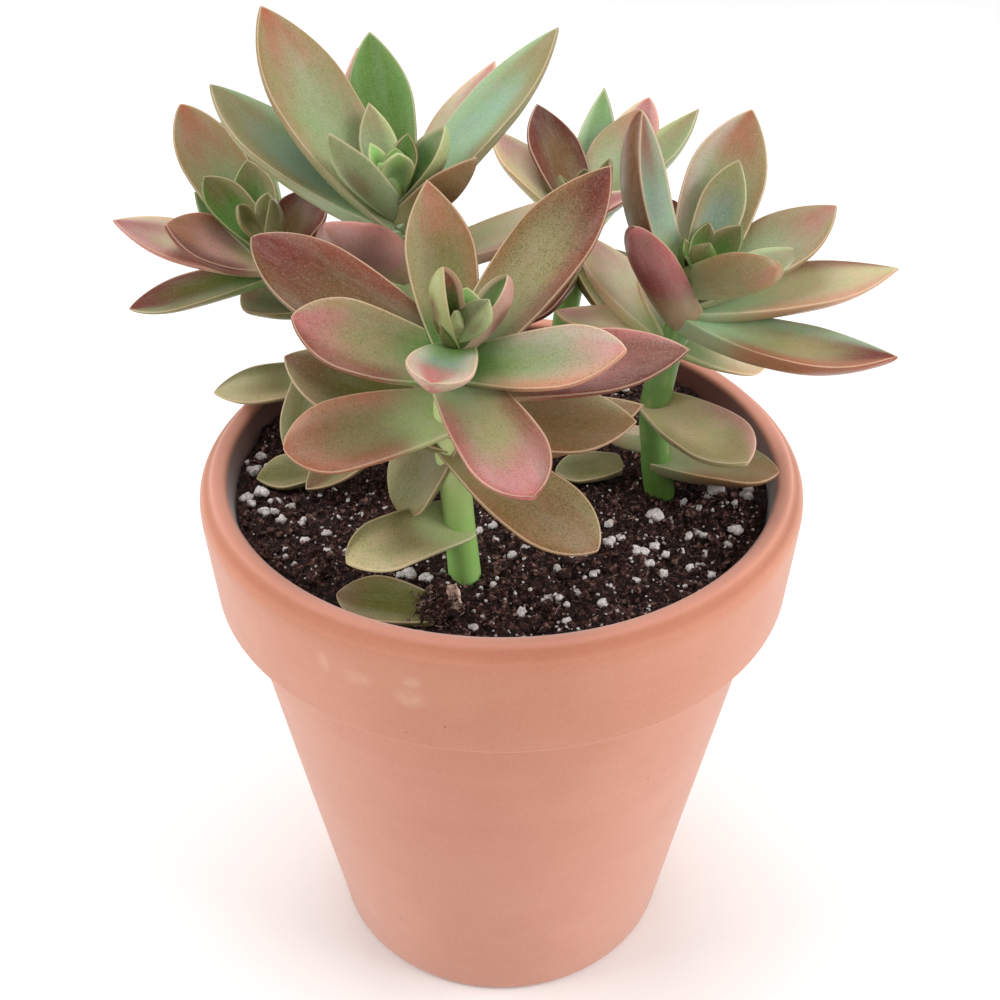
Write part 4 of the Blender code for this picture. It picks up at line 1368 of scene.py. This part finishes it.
greener = skin.mix(1.0, tint, GREENER, "MULTIPLY")
redder = skin.mix(1.0, tint, REDDER, "MULTIPLY")
colour = skin.mix(skin.ramp(mottle, 0.36, 0.62, 0.0, 0.75), tint, greener)
colour = skin.mix(skin.times(skin.ramp(bloom, 0.60, 0.38), 0.5), colour, redder)
darker = skin.mix(1.0, colour, DARKER, "MULTIPLY")
dark_grit = skin.times(skin.ramp(grit, 0.52, 0.34, 0.0, 0.34), on_leaf)
colour = skin.mix(dark_grit, colour, darker)
pale_grit = skin.times(skin.ramp(grit, 0.54, 0.70, 0.0, 0.10), on_leaf)
colour = skin.mix(pale_grit, colour, linear((204, 194, 156)))
colour = skin.mix(skin.ramp(streaks, 0.4, 0.75, 0.0, 0.06), colour, linear((196, 196, 156)))
wax = skin.times(skin.ramp(rubbed, 0.44, 0.70, 0.0, 0.08), on_leaf)
colour = skin.mix(wax, colour, linear((188, 194, 184)))
dots = skin.times(skin.ramp(pores, 0.40, 0.22), freckle_amount)
dots = skin.times(dots, skin.ramp(mottle, 0.38, 0.56, 0.25, 1.0))
colour = skin.mix(skin.times(dots, 0.55), colour, linear((56, 40, 28)))
pale_dots = skin.times(skin.ramp(pale_pores, 0.32, 0.16), freckle_amount)
colour = skin.mix(skin.times(pale_dots, 0.13), colour, linear((216, 192, 164)))
off_line = skin.maths("ABSOLUTE", skin.maths("SUBTRACT", edge_gap, RIM_LINE))
edge_line = skin.ramp(off_line, 0.17, 0.05, 0.0, 0.45)
colour = skin.mix(edge_line, colour, linear((232, 204, 172)))
skin.plain(
    Subsurface_Weight=0.08,
    Subsurface_Radius=(1.0, 0.7, 0.35),
    Subsurface_Scale=0.0010,
    Specular_IOR_Level=0.24,
)
skin_bump = skin.bump(skin.times(grit, on_leaf), 0.00007, 0.4)
skin_bump = skin.bump(streaks, 0.00015, 0.2, skin_bump)
skin_bump = skin.bump(bloom, 0.0005, 0.25, skin_bump)
skin_surface = skin.done(colour, skin.ramp(bloom, 0.3, 0.7, 0.27, 0.38), skin_bump)

# %% [markdown]
# ### Growing the plants
# Now the parts come together: a stem, then its leaves from the crown down. Each leafy stem
# is one piece and stands for one solid.

# %% Leafy stems
# centre line, radius, heading and rise of the crown, leaves, slot
PLANTS = {
    "rosette_front": (FRONT_STEM, 2.7, (-90, 62), FRONT_LEAVES, "leaf_front"),
    "rosette_top": (TOP_STEM, 2.7, (-90, 84), TOP_LEAVES, "leaf_top"),
    "rosette_left": (LEFT_STEM, 2.5, (-110, 70), LEFT_LEAVES, "leaf_left"),
    "rosette_right": (RIGHT_STEM, 2.7, (-20, 70), RIGHT_LEAVES, "leaf_right"),
    "rosette_back": (BACK_STEM, 2.5, (90, 86), BACK_LEAVES, "leaf_back"),
}
for number, (node, (path, radius, facing, rows, slot)) in enumerate(PLANTS.items()):
    plant = bmesh.new()
    add_stem(plant, path, radius, number + 1, STEM_TONES[node])
    for row in rows:
        add_leaf(plant, on_stem(path, row[1]), direction(*facing), row)
    outward(plant)
    finish_piece(node + "_skin", plant, skin_surface, node, sharp=70.0)

# %% [markdown]
# ### Fallen leaves
# Three leaves have dropped. They have lost some water and sun colour, so they are a dull
# olive with a paler edge, and the one in front is half sunk in the mix.

# %% Fallen leaves
# place of the root, heading, rise, length, width, curl, bluntness, colouring
FALLEN = {
    "loose_leaf_front": ((-10.0, -39.0, 104.0), 170, 4, 17, 9.5, -6, 0.6, "mossy"),
    "loose_leaf_right": ((22.0, 1.0, 105.6), -172, -3, 12.5, 7.5, 0, 0.6, "shaded"),
    "loose_leaf_left": ((-31.0, 1.0, 105.2), -165, -3, 13.5, 8.5, 0, 0.3, "shaded"),
}
for node, (root, heading, rise, length, width, curl, blunt, colouring) in FALLEN.items():
    leaf = bmesh.new()
    row = (node, root[2], heading, rise, length, width, curl, 0, blunt, colouring, 0.5)
    add_leaf(leaf, root, direction(-90, 78), row, start=0.0)
    outward(leaf)
    finish_piece(node + "_skin", leaf, skin_surface, node, sharp=70.0)

# %% [markdown]
# ## Floor and light
# The plant stands on a plain pale floor in soft, nearly shadowless light: a bright sky all
# round, as in a light tent, and three broad lamps that give the leaves some shape.

# %% Floor
FLOOR_REACH = 3.0

floor_mesh = bmesh.new()
bmesh.ops.create_grid(floor_mesh, x_segments=8, y_segments=8, size=FLOOR_REACH)
floor = add_object("floor", as_mesh(floor_mesh, "floor"))
paper = Finish("floor_paper")
paper_shift = paper.ramp(paper.noise(6.0), 0.3, 0.7)
paper_tone = paper.mix(paper_shift, linear((247, 247, 246)), linear((251, 251, 251)))
paper_bump = paper.bump(paper.noise(900.0), 0.0001, 0.1)
floor.data.materials.append(paper.done(paper_tone, 0.9, paper_bump))

# %% Lights
scene = bpy.context.scene
scene.view_settings.view_transform = "Standard"
scene.view_settings.look = "None"
scene.view_settings.exposure = 0.0
scene.view_settings.gamma = 1.0

SKY_STRENGTH = 0.50

world = bpy.data.worlds.new("soft_sky")
world.use_nodes = True
sky = world.node_tree.nodes["Background"].inputs
sky["Color"].default_value = (1.0, 1.0, 1.0, 1.0)
sky["Strength"].default_value = SKY_STRENGTH
scene.world = world

LAMP_SIZE = 0.6
# place of each square lamp and the height on the axis that it faces, in metres, then its power
LAMPS = {
    "lamp_right": ((0.80, -0.20, 0.50), 0.10, 6.0),
    "lamp_left": ((-0.80, -0.10, 0.50), 0.10, 4.6),
    "lamp_top": ((-0.05, 0.30, 1.00), 0.12, 4.6),
}
for name, (place, faced, power) in LAMPS.items():
    lamp_data = bpy.data.lights.new(name, "AREA")
    lamp_data.shape = "SQUARE"
    lamp_data.size = LAMP_SIZE
    lamp_data.energy = power
    lamp = add_object(name, lamp_data)
    lamp.location = place
    lamp.rotation_euler = (Vector((0.0, 0.0, faced)) - lamp.location).to_track_quat("-Z", "Y").to_euler()

print("total triangles added:", sum(piece_faces.values()))
